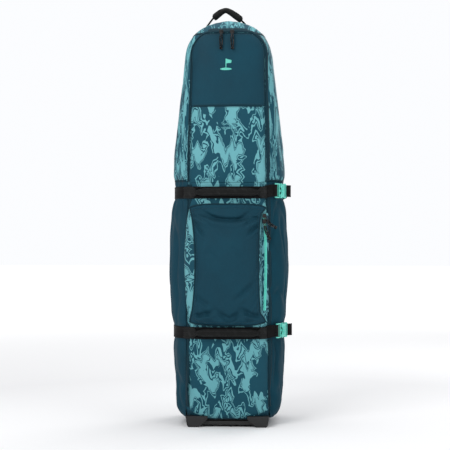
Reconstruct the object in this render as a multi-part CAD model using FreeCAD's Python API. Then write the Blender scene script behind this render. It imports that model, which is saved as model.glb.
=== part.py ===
"""Wheeled golf travel case: a tall padded soft case that stands on two front feet and two rear wheels.

Frame: millimetres, +Z up, +X to the right and -Y towards the front. The origin is on the floor under the
middle of the case. Fabric walls are foam-backed panels, cut from one lofted skin along the sewn seams.
"""

import FreeCAD, Part

import math
import os

Vector = FreeCAD.Vector

# ---- the padded skin: height, half width, depth in front of and behind the origin plane
PROFILE = [
    (22, 138, 108, 148),
    (36, 152, 125, 158),
    (64, 159, 131, 162),
    (120, 163, 134, 163),
    (200, 168, 137, 163),
    (284, 168, 138, 163),
    (370, 176, 141, 163),
    (460, 182, 143, 163),
    (560, 179, 142, 163),
    (640, 173, 139, 163),
    (706, 165, 136, 163),
    (780, 169, 134, 163),
    (900, 159.5, 126, 162),
    (1020, 146.5, 115, 161),
    (1110, 135.5, 105, 156),
    (1160, 126, 97, 147),
    (1190, 109, 87, 131),
    (1212, 84, 72, 109),
    (1228, 50, 51, 77),
    (1236, 22, 26, 38),
]
ROUND_FRONT = 3.0  # superellipse powers of the front and back halves of a section
ROUND_BACK = 4.5
SECTION_POINTS = 32
WALL = 4.0  # fabric, foam and lining together
GAP = 1.0  # air along the flap's seam, so that it can swing out
FAR = 400.0  # larger than anything, for cutting tools

# ---- seams and levels
HINGE_Z = 735.0  # fold line of the hood flap
PRINT_Z = 968.0  # plain hood cloth above, printed cloth below
GUSSET_SEAM_Z = 742.0  # printed gusset above, plain side gussets below
BACK_SEAM_Y = 130.0
FLOOR_SEAM_Z = 30.0
SEAM_BOTTOM = (126.0, 52.0)  # half width and height of the front panel's seam
SEAM_MIDDLE = (119.5, 640.0)
SEAM_SHOULDER = (112.5, 1110.0)
SEAM_CORNER = (102.5, 1164.0)
SEAM_TOP = (70.0, 1192.0)
SEAM_LOWEST_Z = 18.0
TAPE_HALF = 8.0
TAPE_LIFT = (0.3, 1.6)

# ---- straps, handles and buckles
WEB_HEIGHT = 36.0
WEB_LIFT = (0.5, 2.6)
UPPER_STRAP = (706.0, 165.0, 136.0)  # height, and the skin's half width and front depth there
LOWER_STRAP = (284.0, 168.0, 138.0)
BUCKLE_ANGLE = 62.6  # the strap's direction round the front right corner, degrees from +X
BUCKLE_AT = {"upper": (159.1, -85.7), "lower": (162.6, -87.0)}
BUCKLE_RISE = 6.0  # each buckle sits a little above the middle of its strap
STRAP_GAP = 0.5
GRIP_HALF = 80.0
GRIP_ROOT = 97.0
GRIP_BOW = 15.0
GRIP_HEIGHT = 20.0

# ---- wheels and base
WHEEL_R = 36.0
WHEEL_X = 102.0
WHEEL_Y = 140.0
WHEEL_HALF = 12.0
AXLE_R = 4.0
BEARING_R = 11.0
HUB_R = 24.0
WELL_R = 41.0
HEAD_BORE_R = 8.0  # counterbores that hide the bolts' heads and nuts
PLATE_Z = (17.0, 21.7)

# ---- zippers: the main coil crosses the crown seam, the pocket's runs straight down
COIL_LEAN = 25.0  # how far the crown tips a slider's face upwards, degrees
COIL_AT = (-89.4, 1193.4)  # depth and height of the main coil's middle
COIL_HALF = 52.0
MAIN_SLIDER_AT = (-91.6, 1194.4)
POCKET_ZIP_X = 112.0
POCKET_SLIDER_Y = -135.3
POCKET_SLIDER_Z = {"upper": 636.0, "lower": 619.6}

# ---- zipper pulls: pivot, the way the tab hangs, and both strands' routes down to the knot
STRAND_R = 2.0
KNOT_R = 4.8
TAB_LENGTH = 12.0
HANGING = (
    ((-2.2, 0.0, -13.2), (-3.9, -0.9, -25.0), (-3.3, 0.4, -38.5), (-2.0, 0.0, -51.0)),
    ((2.2, 0.0, -13.2), (3.4, 0.5, -26.5), (3.8, -0.7, -39.0), (2.0, 0.0, -51.0)),
)
PULLS = {
    "main_pull_left": ((-20.0, -98.1, 1197.4), (0.0, -0.17, -1.0), HANGING),
    "main_pull_right": ((13.0, -98.1, 1197.4), (0.03, -0.17, -1.0), HANGING),
    "pocket_pull_upper": (
        (112.0, -139.4, 636.0),
        (0.46, -0.06, -0.886),
        (
            ((-1.0, 0.0, -13.2), (-0.8, -0.8, -24.2), (2.6, -1.2, -34.6), (9.2, -0.6, -43.4)),
            ((3.2, 0.0, -13.2), (4.4, 0.7, -23.8), (7.9, 0.4, -34.0), (13.8, -0.4, -42.8)),
        ),
    ),
    "pocket_pull_lower": (
        (112.0, -139.4, 619.6),
        (0.06, 0.0, -1.0),
        (
            ((-2.2, 0.0, -13.2), (-1.0, -0.9, -25.5), (3.4, 0.2, -38.3), (8.6, 0.0, -49.6)),
            ((2.2, 0.0, -13.2), (5.0, 0.6, -25.8), (8.4, -0.6, -37.2), (12.4, 0.0, -48.6)),
        ),
    ),
}


def box(low, high):
    """A block between two corners."""
    size = [b - a for a, b in zip(low, high)]
    return Part.makeBox(*size, Vector(*low))


def slab(low, high):
    """Everything between two heights."""
    return box((-FAR, -FAR, low), (FAR, FAR, high))


def section(z, half, front, back):
    """One closed level section of the skin."""
    points = []
    for k in range(SECTION_POINTS):
        turn = 2 * math.pi * k / SECTION_POINTS
        c, s = math.cos(turn), math.sin(turn)
        depth, power = (back, ROUND_BACK) if s > 0 else (front, ROUND_FRONT)
        r = ((abs(c) / half) ** power + (abs(s) / depth) ** power) ** (-1 / power)
        points.append(Vector(r * c, r * s, z))
    even = [k / SECTION_POINTS for k in range(SECTION_POINTS + 1)]  # the same in every section
    curve = Part.BSplineCurve()
    curve.interpolate(Points=points, PeriodicFlag=True, Parameters=even)
    return Part.Wire([curve.toShape()])


def skin(grow):
    """The solid inside the skin, moved out by grow, or in if it is negative."""
    wires = []
    for z, half, front, back in PROFILE:
        if (z, half, front, back) == PROFILE[0]:
            z -= grow
        if (z, half, front, back) == PROFILE[-1]:
            z += grow
        wires.append(section(z, half + grow, front + grow, back + grow))
    return Part.makeLoft(wires, True, False)


SKIN = {}


def skin_at(grow):
    """The same solid, built once for each offset."""
    if grow not in SKIN:
        SKIN[grow] = skin(grow)
    return SKIN[grow].copy()


def front_region(grow):
    """A block behind the front panel's seam line, which runs up both sides and across below the crown."""

    def right(point):
        return Vector(point[0] + grow, -FAR, point[1])

    def left(point):
        return Vector(-point[0] - grow, -FAR, point[1])

    lift = Vector(0, 0, grow)
    corner, top = right(SEAM_CORNER) + lift, right(SEAM_TOP) + lift
    corner_left, top_left = left(SEAM_CORNER) + lift, left(SEAM_TOP) + lift
    lowest = Vector(0, -FAR, SEAM_LOWEST_Z - grow)
    edges = [
        Part.Arc(right(SEAM_BOTTOM), right(SEAM_MIDDLE), right(SEAM_SHOULDER)).toShape(),
        Part.Arc(right(SEAM_SHOULDER), corner, top).toShape(),
        Part.makeLine(top, top_left),
        Part.Arc(top_left, corner_left, left(SEAM_SHOULDER)).toShape(),
        Part.Arc(left(SEAM_SHOULDER), left(SEAM_MIDDLE), left(SEAM_BOTTOM)).toShape(),
        Part.Arc(left(SEAM_BOTTOM), lowest, right(SEAM_BOTTOM)).toShape(),
    ]
    return Part.Face(Part.Wire(edges)).extrude(Vector(0, FAR - 30, 0))


def layer(outer, inner, *regions):
    """The part of the skin between two offsets that lies in every region."""
    piece = skin_at(outer)
    for region in regions:
        piece = piece.common(region)
    return piece.cut(skin_at(inner))


def curve_points(path, steps):
    """Points and unit normals along a smooth plane curve through the path."""
    curve = Part.BSplineCurve()
    curve.interpolate([Vector(x, y, 0) for x, y in path])
    first, last = curve.FirstParameter, curve.LastParameter
    found = []
    for k in range(steps + 1):
        u = first + (last - first) * k / steps
        along = curve.tangent(u)[0]
        found.append((curve.value(u), Vector(-along.y, along.x, 0)))
    return found


def ribbon(path, thickness, low, high):
    """A strip of even thickness that follows a plan path, from one height to another."""
    samples = curve_points(path, 4 * len(path))
    sides = []
    for sign in (1, -1):
        curve = Part.BSplineCurve()
        curve.interpolate([p + n * (sign * thickness / 2) for p, n in samples])
        sides.append(curve.toShape())
    ends = [
        Part.makeLine(sides[0].Vertexes[i].Point, sides[1].Vertexes[i].Point)
        for i in (0, -1)
    ]
    outline = Part.Wire(Part.__sortEdges__(sides + ends))
    return Part.Face(outline).extrude(Vector(0, 0, high - low)).translated(Vector(0, 0, low))


def rod(radius, start, end):
    """A round bar between two points."""
    start, end = Vector(*start), Vector(*end)
    return Part.makeCylinder(radius, (end - start).Length, start, end - start)


def wall_panels():
    """The sewn panels of the case and of its hood flap."""
    flap = front_region(-GAP)
    around = skin_at(0).cut(front_region(0)).cut(box((-FAR, BACK_SEAM_Y, 0), (FAR, FAR, FAR * 4)))
    hollow = skin_at(-WALL)
    left_side = box((-FAR, -FAR, FLOOR_SEAM_Z), (0, FAR, GUSSET_SEAM_Z))
    right_side = box((0, -FAR, FLOOR_SEAM_Z), (FAR, FAR, GUSSET_SEAM_Z))
    behind = box((-FAR, BACK_SEAM_Y, FLOOR_SEAM_Z), (FAR, FAR, FAR * 4))
    bottom = skin_at(0).common(slab(0, FLOOR_SEAM_Z))
    wells = wheel_wells()
    return {
        "hood_plain_panel": layer(0, -WALL, flap, slab(PRINT_Z, FAR * 4)),
        "hood_print_panel": layer(0, -WALL, flap, slab(HINGE_Z + GAP / 2, PRINT_Z)),
        "middle_print_panel": layer(0, -WALL, flap, slab(LOWER_STRAP[0], HINGE_Z - GAP / 2)),
        "lower_print_panel": layer(0, -WALL, flap, slab(0, LOWER_STRAP[0])),
        "upper_gusset": around.common(slab(GUSSET_SEAM_Z, FAR * 4)).cut(hollow),
        "left_gusset": around.common(left_side).cut(hollow).cut(wells),
        "right_gusset": around.common(right_side).cut(hollow).cut(wells),
        "back_panel": layer(0, -WALL, behind).cut(wells),
        "bottom_panel": bottom.cut(front_region(0)).cut(hollow).cut(wells),
    }


def zipper_tapes():
    """The long U of zipper tape round the front panel, and the straight coil across its top."""
    low, high = TAPE_LIFT
    above = slab(HINGE_Z + 2, FAR * 4)
    outer_ring = front_region(TAPE_HALF).cut(front_region(0))
    inner_ring = front_region(-GAP).cut(front_region(-TAPE_HALF))
    lean = math.radians(COIL_LEAN)
    coils = []
    for step in (-2.6, 2.6):
        y, z = COIL_AT[0] + step * math.sin(lean), COIL_AT[1] + step * math.cos(lean)
        coils.append(rod(1.7, (-COIL_HALF, y, z), (COIL_HALF, y, z)))
    flap_coil, case_coil = coils
    case_tape = layer(high, low, outer_ring, slab(60, FAR * 4))
    for z, _, _ in (UPPER_STRAP, LOWER_STRAP):
        case_tape = case_tape.cut(slab(z - WEB_HEIGHT / 2 - STRAP_GAP, z + WEB_HEIGHT / 2 + BUCKLE_RISE))
    return {
        "flap_zip_tape": Part.Compound([layer(high, low, inner_ring, above), flap_coil]),
        "case_zip_tape": Part.Compound([case_tape, case_coil]),
    }


def padding():
    """Foam inside the hood and flap, the board behind the back panel, and the strap that holds the clubs."""
    hood = box((-FAR, -15, 850), (FAR, 140, FAR * 4))
    board = box((-80, 150, 95), (80, 155, 860))
    return {
        "hood_foam": layer(-WALL - 0.3, -WALL - 8, hood),
        "flap_foam": layer(-WALL - 0.3, -WALL - 6, front_region(-14), slab(760, 1165)),
        "back_board": board,
        "inner_strap": box((-88, 147, 640), (88, 149.4, 665)),
        "inner_strap_buckle": box((-24, 138.5, 634), (24, 146.7, 671)),
    }


def pocket_solid(shrink):
    """The bulging pocket: flat level sections whose depth swells from the top and bottom seams."""
    depths = [(308, 2), (345, 18), (400, 30), (480, 36), (560, 34), (620, 24), (655, 11), (671, 2)]
    wires = []
    for z, depth in depths:
        if shrink and depth < 12:
            continue
        front = -142 - depth + shrink
        left, right = -117 + shrink, 104 - shrink
        outline = [
            (left, -60),
            (left, -124),
            (-86 + shrink, front + 3),
            (0, front - 3 + shrink / 3),
            (90 - shrink, front + 2),
            (right, -130),
            (right, -60),
        ]
        points = [Vector(x, y, z) for x, y in outline]
        wires.append(Part.makePolygon(points + points[:1]))
    return Part.makeLoft(wires, True, True)


def pocket():
    """The front pocket and its upright zipper, with the slider at the top stop."""
    mouth = box((88, -160, 352), (FAR, -140, 618))
    shell = pocket_solid(0).cut(skin_at(0.4)).cut(pocket_solid(3)).cut(mouth)
    x = POCKET_ZIP_X
    tape = layer(TAPE_LIFT[1], TAPE_LIFT[0], box((x - 7, -FAR, 345), (x + 4, 0, 645)))
    coil = box((x - 3, POCKET_SLIDER_Y + 0.5, 350), (x + 3, -115, 641)).cut(skin_at(1.8))
    made = {"pocket_shell": shell, "pocket_zipper": Part.Compound([tape, coil])}
    for which, z in POCKET_SLIDER_Z.items():
        made[f"pocket_slider_{which}"] = slider().translated(Vector(x, POCKET_SLIDER_Y, z))
    return made


def slider():
    """A zipper slider's face plate and its bridge, standing towards -Y, with its back at Y=0."""
    plate = box((-5.4, -2.4, -6.2), (5.4, 0, 6.2))
    bridge = box((-0.9, -7.2, -4.0), (0.9, -2.4, 4.0)).cut(box((-2, -5.8, -2.8), (2, -2.4, 2.8)))
    return plate.fuse(bridge)


def cord_tube(name, route):
    """A round cord of straight runs joined by arcs as large as the runs allow."""
    points = [Vector(*p) for p in route]
    edges = []
    start = points[0]
    for before, corner, after in zip(points, points[1:], points[2:]):
        back, ahead = (before - corner), (after - corner)
        shorter = min(back.Length, ahead.Length)
        turn = math.pi - back.getAngle(ahead)
        reach = 0.45 * shorter
        radius = reach / math.tan(turn / 2)
        enter = corner + back.normalize() * reach
        leave = corner + ahead.normalize() * reach
        middle_way = (enter + leave) * 0.5 - corner
        to_centre = math.hypot(radius, reach)
        middle = corner + middle_way.normalize() * (to_centre - radius)
        edges += [Part.makeLine(start, enter), Part.Arc(enter, middle, leave).toShape()]
        start = leave
        print(f"{name} bend radius {radius:.1f} mm, turn {math.degrees(turn):.0f} degrees")
    edges.append(Part.makeLine(start, points[-1]))
    path = Part.Wire(edges)
    ring = Part.Wire([Part.makeCircle(STRAND_R, points[0], points[1] - points[0])])
    tube = path.makePipeShell([ring], True, False)
    area = math.pi * STRAND_R**2
    print(f"{name} length {path.Length:.1f} mm, volume ratio {tube.Volume / (area * path.Length):.4f}")
    return tube


def tab(round_bar):
    """A pull's moulded tab: a ring round the bridge, or a stirrup whose bar goes under the bridge."""
    top = -6.4 if round_bar else -7.6
    plate = box((-3.4, -1.1, -TAB_LENGTH), (3.4, 1.1, top))
    eye = rod(1.5, (0, -2, -TAB_LENGTH + 2.2), (0, 2, -TAB_LENGTH + 2.2))
    if round_bar:
        hoop = rod(3.6, (-1.1, 0, 0), (1.1, 0, 0)).cut(rod(2.5, (-2, 0, 0), (2, 0, 0)))
        stem = box((-1.1, -1.1, -7.0), (1.1, 1.1, -3.0))
        return hoop.fuse([stem, plate]).cut(eye)
    stirrup = box((-4.4, -1.0, -8.2), (4.4, 1.0, 0)).cut(box((-3.2, -2, -7.4), (3.2, 2, 1)))
    bar = rod(1.0, (-4.4, 0, 0), (4.4, 0, 0))
    return stirrup.fuse([bar, plate]).cut(eye)


def pull(name):
    """A zipper pull: a moulded tab on the slider's bridge, and a doubled cord that ends in a knot."""
    pivot, hang, routes = PULLS[name]
    strands = [cord_tube(f"{name} strand", route) for route in routes]
    ends = [Vector(*route[-1]) for route in routes]
    last_runs = [(Vector(*route[-1]) - Vector(*route[-2])).normalize() for route in routes]
    way = (last_runs[0] + last_runs[1]).normalize()
    knot_at = (ends[0] + ends[1]) * 0.5 + way * (KNOT_R - 0.6)
    knot = Part.makeSphere(KNOT_R, knot_at)
    for strand in strands:
        knot = knot.cut(strand)
    place = FreeCAD.Placement(Vector(*pivot), FreeCAD.Rotation(Vector(0, 0, -1), Vector(*hang)))
    made = {"tab": tab(name.startswith("main")), "cord": Part.Compound(strands + [knot])}
    for shape in made.values():
        shape.Placement = place.multiply(shape.Placement)
    return {f"{name}_{key}": shape for key, shape in made.items()}


def strap_line(x, strap, out):
    """A point on the front of a strap, standing out by the given amount."""
    half, front = strap[1] + out, strap[2] + out
    return (x, -front * (1 - (abs(x) / half) ** ROUND_FRONT) ** (1 / ROUND_FRONT))


def buckle_point(which, along, out):
    """A plan point in a buckle's own frame: along the strap, and out from the case."""
    turn = math.radians(BUCKLE_ANGLE)
    x, y = BUCKLE_AT[which]
    return (
        x + along * math.cos(turn) + out * math.sin(turn),
        y + along * math.sin(turn) - out * math.cos(turn),
    )


def strap(which, level):
    """Webbing round the case, its two straight runs to the buckle, and the loose tail."""
    z = level[0]
    low, high = z - WEB_HEIGHT / 2, z + WEB_HEIGHT / 2
    thick = WEB_LIFT[1] - WEB_LIFT[0]
    loop = skin_at(WEB_LIFT[1]).common(slab(low, high)).cut(skin_at(WEB_LIFT[0]))
    loop = loop.cut(box((100, -FAR, 0), (FAR, 24, FAR * 4)))
    middle = sum(WEB_LIFT) / 2
    front = [strap_line(x, level, middle) for x in (100.2, 108, 116)]
    front += [buckle_point(which, along, -4.2) for along in (-42, -32, -22, -12)]
    side = [buckle_point(which, along, -4.2) for along in (20, 30, 40)]
    side += [(level[1] + 12, -22), (level[1] + 6, 0), (level[1] + middle, 24.2)]
    tail = [buckle_point(which, a, o) for a, o in ((34, 1), (42, 6.5), (50, 8), (58, 4))]
    low, high = low + BUCKLE_RISE / 2, high + BUCKLE_RISE / 2
    runs = [ribbon(run, thick, low, high).cut(skin_at(WEB_LIFT[0])) for run in (front, side, tail)]
    return Part.Compound([loop] + runs)


def buckle(which, level):
    """A side-release buckle: socket, plug with its adjuster frame, and the two squeeze prongs."""
    z = level[0]
    plates = box((-6, -5, -19), (18, 5, 19)).cut(box((-7, -2.6, -20), (12, 2.6, 20)))
    frame = box((18, -2.5, -22), (32, 2.5, 22)).cut(box((22, -3, -19), (28, 3, 19)))
    plug = box((-32, -2.5, -22), (-8.4, 2.5, 22))
    for start, end in ((-29, -23), (-19, -13)):
        plug = plug.cut(box((start, -3, -19), (end, 3, 19)))
    plug = plug.fuse(box((-8.4, -2.2, -4), (9, 2.2, 4)))
    prong = [(-8, 11.5), (-8, 18.5), (-3, 19.6), (3, 22.6), (7, 22.6), (9.5, 19), (9.5, 14), (2, 11.5)]
    points = [Vector(x, -2.2, h) for x, h in prong]
    prong_up = Part.Face(Part.makePolygon(points + points[:1])).extrude(Vector(0, 4.4, 0))
    prong_down = prong_up.mirror(Vector(0, 0, 0), Vector(0, 0, 1))
    made = {
        "socket": plates.fuse(frame),
        "plug": plug,
        "prong_top": prong_up,
        "prong_bottom": prong_down,
    }
    turn = FreeCAD.Rotation(Vector(0, 0, 1), BUCKLE_ANGLE)
    place = FreeCAD.Placement(Vector(*BUCKLE_AT[which], z + BUCKLE_RISE), turn)
    for shape in made.values():
        shape.Placement = place.multiply(shape.Placement)
    return {f"{which}_buckle_{key}": shape for key, shape in made.items()}


def grab_handle(level):
    """The rolled grip in front of a strap, and the sewn webbing roots at both of its ends."""
    z = level[0]

    def bow(x):
        share = max(0.0, 1 - (x / GRIP_ROOT) ** 2) ** 0.6
        return strap_line(x, level, WEB_LIFT[1] + 3.2 + GRIP_BOW * share)

    low, high = z - GRIP_HEIGHT / 2, z + GRIP_HEIGHT / 2
    steps = 8
    middle = [bow(GRIP_HALF * k / steps) for k in range(-steps, steps + 1)]
    grip = ribbon(middle, 5.0, low, high)
    roots = []
    for side in (-1, 1):
        end = [bow(side * x) for x in (GRIP_HALF + 4, 88, 93, GRIP_ROOT)]
        outer = 116 if side > 0 else 130
        patch = [strap_line(side * x, level, WEB_LIFT[1] + 1.3) for x in (92, 100, 108, outer)]
        roots.append(ribbon(end, 3.0, low, high).fuse(ribbon(patch, 2.0, z - 17, z + 17)))
    return grip, roots


def straps():
    """Both compression straps with their buckles and grab handles."""
    made = {}
    roots = []
    for which, level in (("upper", UPPER_STRAP), ("lower", LOWER_STRAP)):
        made[f"{which}_strap"] = strap(which, level)
        made.update(buckle(which, level))
        made[f"{which}_grab_grip"], ends = grab_handle(level)
        roots += [end.cut(made[f"{which}_strap"]) for end in ends]
    made["grab_handle_patches"] = Part.Compound(roots)
    return made


def haul_handle():
    """The haul handle on the crown: a padded wrap on a webbing loop, with its sewn webbing ends."""
    rise = [(-48, 1251), (-38, 1259.5), (-25, 1269), (-11, 1273.5)]
    fall = [(3, 1268), (15, 1260), (26, 1252), (36, 1244)]
    left_leg = [(-80, 1205), (-74, 1219), (-63, 1235), (-53.2, 1246.6)]
    right_leg = [(62, 1205), (57, 1219), (49.5, 1230), (41.6, 1238.8)]
    upright = FreeCAD.Placement(Vector(0, 12, 0), FreeCAD.Rotation(Vector(1, 0, 0), 90))
    grip = ribbon(rise + fall, 14.5, -13, 13)
    legs = [ribbon(leg, 2.4, -13, 13) for leg in (left_leg, right_leg)]
    for shape in [grip] + legs:
        shape.Placement = upright.multiply(shape.Placement)
    rooted = Part.Compound([leg.cut(skin_at(0.3)) for leg in legs])
    return {"haul_grip": grip, "haul_handle_legs": rooted}


def wheel_wells():
    """The blocks that both wheel housings take out of the fabric walls."""
    grow = 0.35
    wells = []
    for side in (-1, 1):
        x = sorted((side * (78 - grow), side * (126 + grow)))
        wells.append(box((x[0], 92 - grow, 0), (x[1], FAR, 86 + grow)))
    return wells[0].fuse(wells[1])


def wheel_set(side):
    """One wheel with its housing, hub and bearings; side is 1 for the right wheel."""
    label = "right" if side > 0 else "left"

    def ring(radius, bore, low, high):
        a, b = sorted((side * WHEEL_X + low, side * WHEEL_X + high))
        outer = rod(radius, (a, WHEEL_Y, WHEEL_R), (b, WHEEL_Y, WHEEL_R))
        return outer.cut(rod(bore, (a - 1, WHEEL_Y, WHEEL_R), (b + 1, WHEEL_Y, WHEEL_R)))

    tyre = ring(WHEEL_R, HUB_R, -WHEEL_HALF, WHEEL_HALF)
    crown = [e for e in tyre.Edges if e.Curve.TypeId == "Part::GeomCircle" and e.Curve.Radius > WHEEL_R - 1]
    tyre = tyre.makeFillet(7.0, crown)
    hub = ring(HUB_R, BEARING_R, -WHEEL_HALF + 1, WHEEL_HALF - 1)
    for k in range(5):
        turn = 2 * math.pi * k / 5
        y, z = WHEEL_Y + 17.5 * math.sin(turn), WHEEL_R + 17.5 * math.cos(turn)
        hub = hub.cut(rod(3.6, (side * WHEEL_X - 20, y, z), (side * WHEEL_X + 20, y, z)))
    bearings = [ring(BEARING_R, AXLE_R + 0.05, low, low + 7) for low in (-11, 4)]
    x = sorted((side * 78, side * 126))
    housing = box((x[0], 92, 10), (x[1], 168, 86))
    top_edges = [e for e in housing.Edges if e.BoundBox.ZMin > 80]
    housing = housing.makeFillet(9.0, top_edges)
    inner, outer = side * WHEEL_X - 15, side * WHEEL_X + 15
    well = rod(WELL_R, (inner, WHEEL_Y, WHEEL_R), (outer, WHEEL_Y, WHEEL_R))
    mouth = box((inner, WHEEL_Y - WELL_R, 0), (outer, 200, WHEEL_R))
    rear = box((inner, WHEEL_Y, 0), (outer, 200, WHEEL_R + WELL_R))
    bore = rod(AXLE_R, (x[0] - 5, WHEEL_Y, WHEEL_R), (x[1] + 5, WHEEL_Y, WHEEL_R))
    housing = housing.cut(well).cut(mouth).cut(rear).cut(bore)
    for start, end in ((x[0] - 1, x[0] + 4), (x[1] - 4, x[1] + 1)):
        housing = housing.cut(rod(HEAD_BORE_R, (start, WHEEL_Y, WHEEL_R), (end, WHEEL_Y, WHEEL_R)))
    return {
        f"wheel_tyre_{label}": tyre,
        f"wheel_hub_{label}": hub,
        f"wheel_bearings_{label}": Part.Compound(bearings),
        f"wheel_housing_{label}": housing,
    }


def axles():
    """Both axle bolts, with the shoulders that keep the wheels central, a head and a nut."""
    bolts = []
    for side in (-1, 1):
        x = side * WHEEL_X
        line = (WHEEL_Y, WHEEL_R)
        bolt = rod(AXLE_R, (x - 23.6, *line), (x + 23.6, *line))
        for low, high, radius in ((-15, -11.3, 6.5), (11.3, 15, 6.5), (-23.6, -20, 7.5), (20, 23.6, 7.5)):
            bolt = bolt.fuse(rod(radius, (x + low, *line), (x + high, *line)))
        bolts.append(bolt)
    return Part.Compound(bolts)


def base():
    """The moulded base plate, front skid, kick plate, back runners and their fasteners."""
    plate = box((-118, -100, PLATE_Z[0]), (118, 90, PLATE_Z[1]))
    plate = plate.fuse(box((-74, 90, PLATE_Z[0]), (74, 142, PLATE_Z[1])))
    foot = [(-126, 33), (-122, 6), (-117, 0), (-87, 0), (-74, 12), (-60, 24), (-60, 33)]
    feet = []
    for side in (1, -1):
        points = [Vector(side * x, -126, z) for x, z in foot]
        feet.append(Part.Face(Part.makePolygon(points + points[:1])).extrude(Vector(0, 66, 0)))
    bar = box((-80, -116, 7), (80, -104, 18))
    skid = feet[0].fuse(feet[1]).fuse(bar).cut(plate).cut(skin_at(0.3))
    skid = skid.cut(box((-FAR, -100, PLATE_Z[0]), (FAR, FAR, FAR)))
    kick = layer(3.0, 0.3, box((-74, 110, 26), (74, FAR, 170)))
    rails = []
    for side in (-1, 1):
        low, high = sorted((side * 58, side * 70))
        rail = box((low, 163.3, 200), (high, 171, 640))
        rails.append(rail.cut(box((low, 160, 264), (high, 166.2, 304))))
    screws = []
    for x, y in ((-96, -40), (96, -40), (-96, 60), (96, 60), (-40, 130), (40, 130)):
        screws.append(rod(5.0, (x, y, PLATE_Z[0] - 1.8), (x, y, PLATE_Z[0])))
    for side in (-1, 1):
        for y, z in ((165.2, 60), (166.2, 140)):
            screws.append(rod(4.5, (side * 60, y, z), (side * 60, y + 2, z)))
    return {
        "base_plate": plate,
        "front_skid": skid,
        "kick_plate": kick,
        "back_runners": Part.Compound(rails),
        "base_fasteners": Part.Compound(screws),
    }


def sliders():
    """The two sliders of the long zipper, parked nose to nose near the middle of the crown seam."""
    along = FreeCAD.Rotation(Vector(0, 1, 0), 90)
    lean = FreeCAD.Rotation(Vector(1, 0, 0), -COIL_LEAN)
    made = {}
    for label in ("left", "right"):
        shape = slider()
        place = Vector(PULLS[f"main_pull_{label}"][0][0], *MAIN_SLIDER_AT)
        shape.Placement = FreeCAD.Placement(place, lean.multiply(along))
        made[f"main_slider_{label}"] = shape
    return made


def main():
    parts = {}
    parts.update(wall_panels())
    parts.update(zipper_tapes())
    parts.update(padding())
    parts.update(pocket())
    parts.update(sliders())
    for name in PULLS:
        parts.update(pull(name))
    parts.update(straps())
    parts.update(haul_handle())
    for side in (-1, 1):
        parts.update(wheel_set(side))
    parts["axles"] = axles()
    parts.update(base())
    os.makedirs("parts", exist_ok=True)
    for name, shape in sorted(parts.items()):
        shape.exportStep(f"parts/{name}.step")
        flags = "" if shape.isValid() else "  NOT VALID"
        bounds = shape.BoundBox
        print(
            f"{name:26s} solids {len(shape.Solids):2d}  cm3 {shape.Volume / 1000:8.1f}  "
            f"x {bounds.XMin:7.1f} {bounds.XMax:7.1f}  y {bounds.YMin:7.1f} {bounds.YMax:7.1f}  "
            f"z {bounds.ZMin:7.1f} {bounds.ZMax:7.1f}{flags}"
        )
    print(len(parts), "nodes")


main()
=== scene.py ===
"""Looks of the wheeled golf travel case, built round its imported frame. All sizes are in metres."""

import math

import bmesh
import bpy
import numpy as np
from mathutils import Matrix, Vector, noise
from mathutils.bvhtree import BVHTree


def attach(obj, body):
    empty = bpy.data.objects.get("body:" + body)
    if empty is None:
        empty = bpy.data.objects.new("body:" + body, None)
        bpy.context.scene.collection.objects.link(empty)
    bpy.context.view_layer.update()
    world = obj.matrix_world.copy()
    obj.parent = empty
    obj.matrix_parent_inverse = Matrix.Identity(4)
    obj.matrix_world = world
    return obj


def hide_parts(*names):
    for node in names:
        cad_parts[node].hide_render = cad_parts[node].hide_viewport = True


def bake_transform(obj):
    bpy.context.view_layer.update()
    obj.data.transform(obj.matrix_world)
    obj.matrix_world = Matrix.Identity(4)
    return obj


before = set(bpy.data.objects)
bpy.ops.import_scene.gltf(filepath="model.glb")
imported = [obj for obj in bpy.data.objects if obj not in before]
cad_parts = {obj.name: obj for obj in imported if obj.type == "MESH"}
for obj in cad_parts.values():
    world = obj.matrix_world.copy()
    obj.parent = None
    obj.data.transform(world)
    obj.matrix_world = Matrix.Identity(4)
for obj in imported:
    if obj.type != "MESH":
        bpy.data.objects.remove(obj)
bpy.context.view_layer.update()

# ---- levels and seams of the case, as its frame has them
FLOOR_OF_SKIN, CROWN = 0.022, 1.236
HINGE_Z, PRINT_Z, GUSSET_Z = 0.735, 0.968, 0.742
SEAM_LOW, SEAM_MIDDLE, SEAM_SHOULDER = (0.126, 0.052), (0.1195, 0.640), (0.1125, 1.110)
SEAM_CORNER, SEAM_TOP = (0.1025, 1.164), (0.070, 1.192)
ROUND_FRONT, ROUND_BACK = 3.0, 4.5
UPPER_Z, LOWER_Z = 0.706, 0.284
WALL = 0.0035
FRONT_COLS, SIDE_COLS, BACK_COLS = 66, 74, 56
CROWN_ROWS = 16

# ---- camera and cords, which come first
CAMERA_AZIMUTH, CAMERA_DISTANCE, CAMERA_HEIGHT = 3.0, 4.2, 0.6085
CAMERA_AIM_X = -0.0135
FIELD_OF_VIEW = 18.85


def place_object(name, data):
    """A new object of the scene."""
    obj = bpy.data.objects.new(name, data)
    bpy.context.scene.collection.objects.link(obj)
    return obj


def make_camera():
    """A long lens at half the case's height, almost square on to its front."""
    data = bpy.data.cameras.new("camera")
    data.sensor_width = 36.0
    data.lens = 18.0 / math.tan(math.radians(FIELD_OF_VIEW / 2))
    cam = place_object("camera", data)
    turn = math.radians(CAMERA_AZIMUTH)
    back = Vector((math.sin(turn), -math.cos(turn), 0))
    cam.location = Vector((CAMERA_AIM_X, 0, CAMERA_HEIGHT)) + back * CAMERA_DISTANCE
    cam.rotation_mode = "QUATERNION"
    cam.rotation_quaternion = (-back).to_track_quat("-Z", "Y")
    data.clip_end = 60
    bpy.context.scene.camera = cam


# ================================================================ materials


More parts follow.
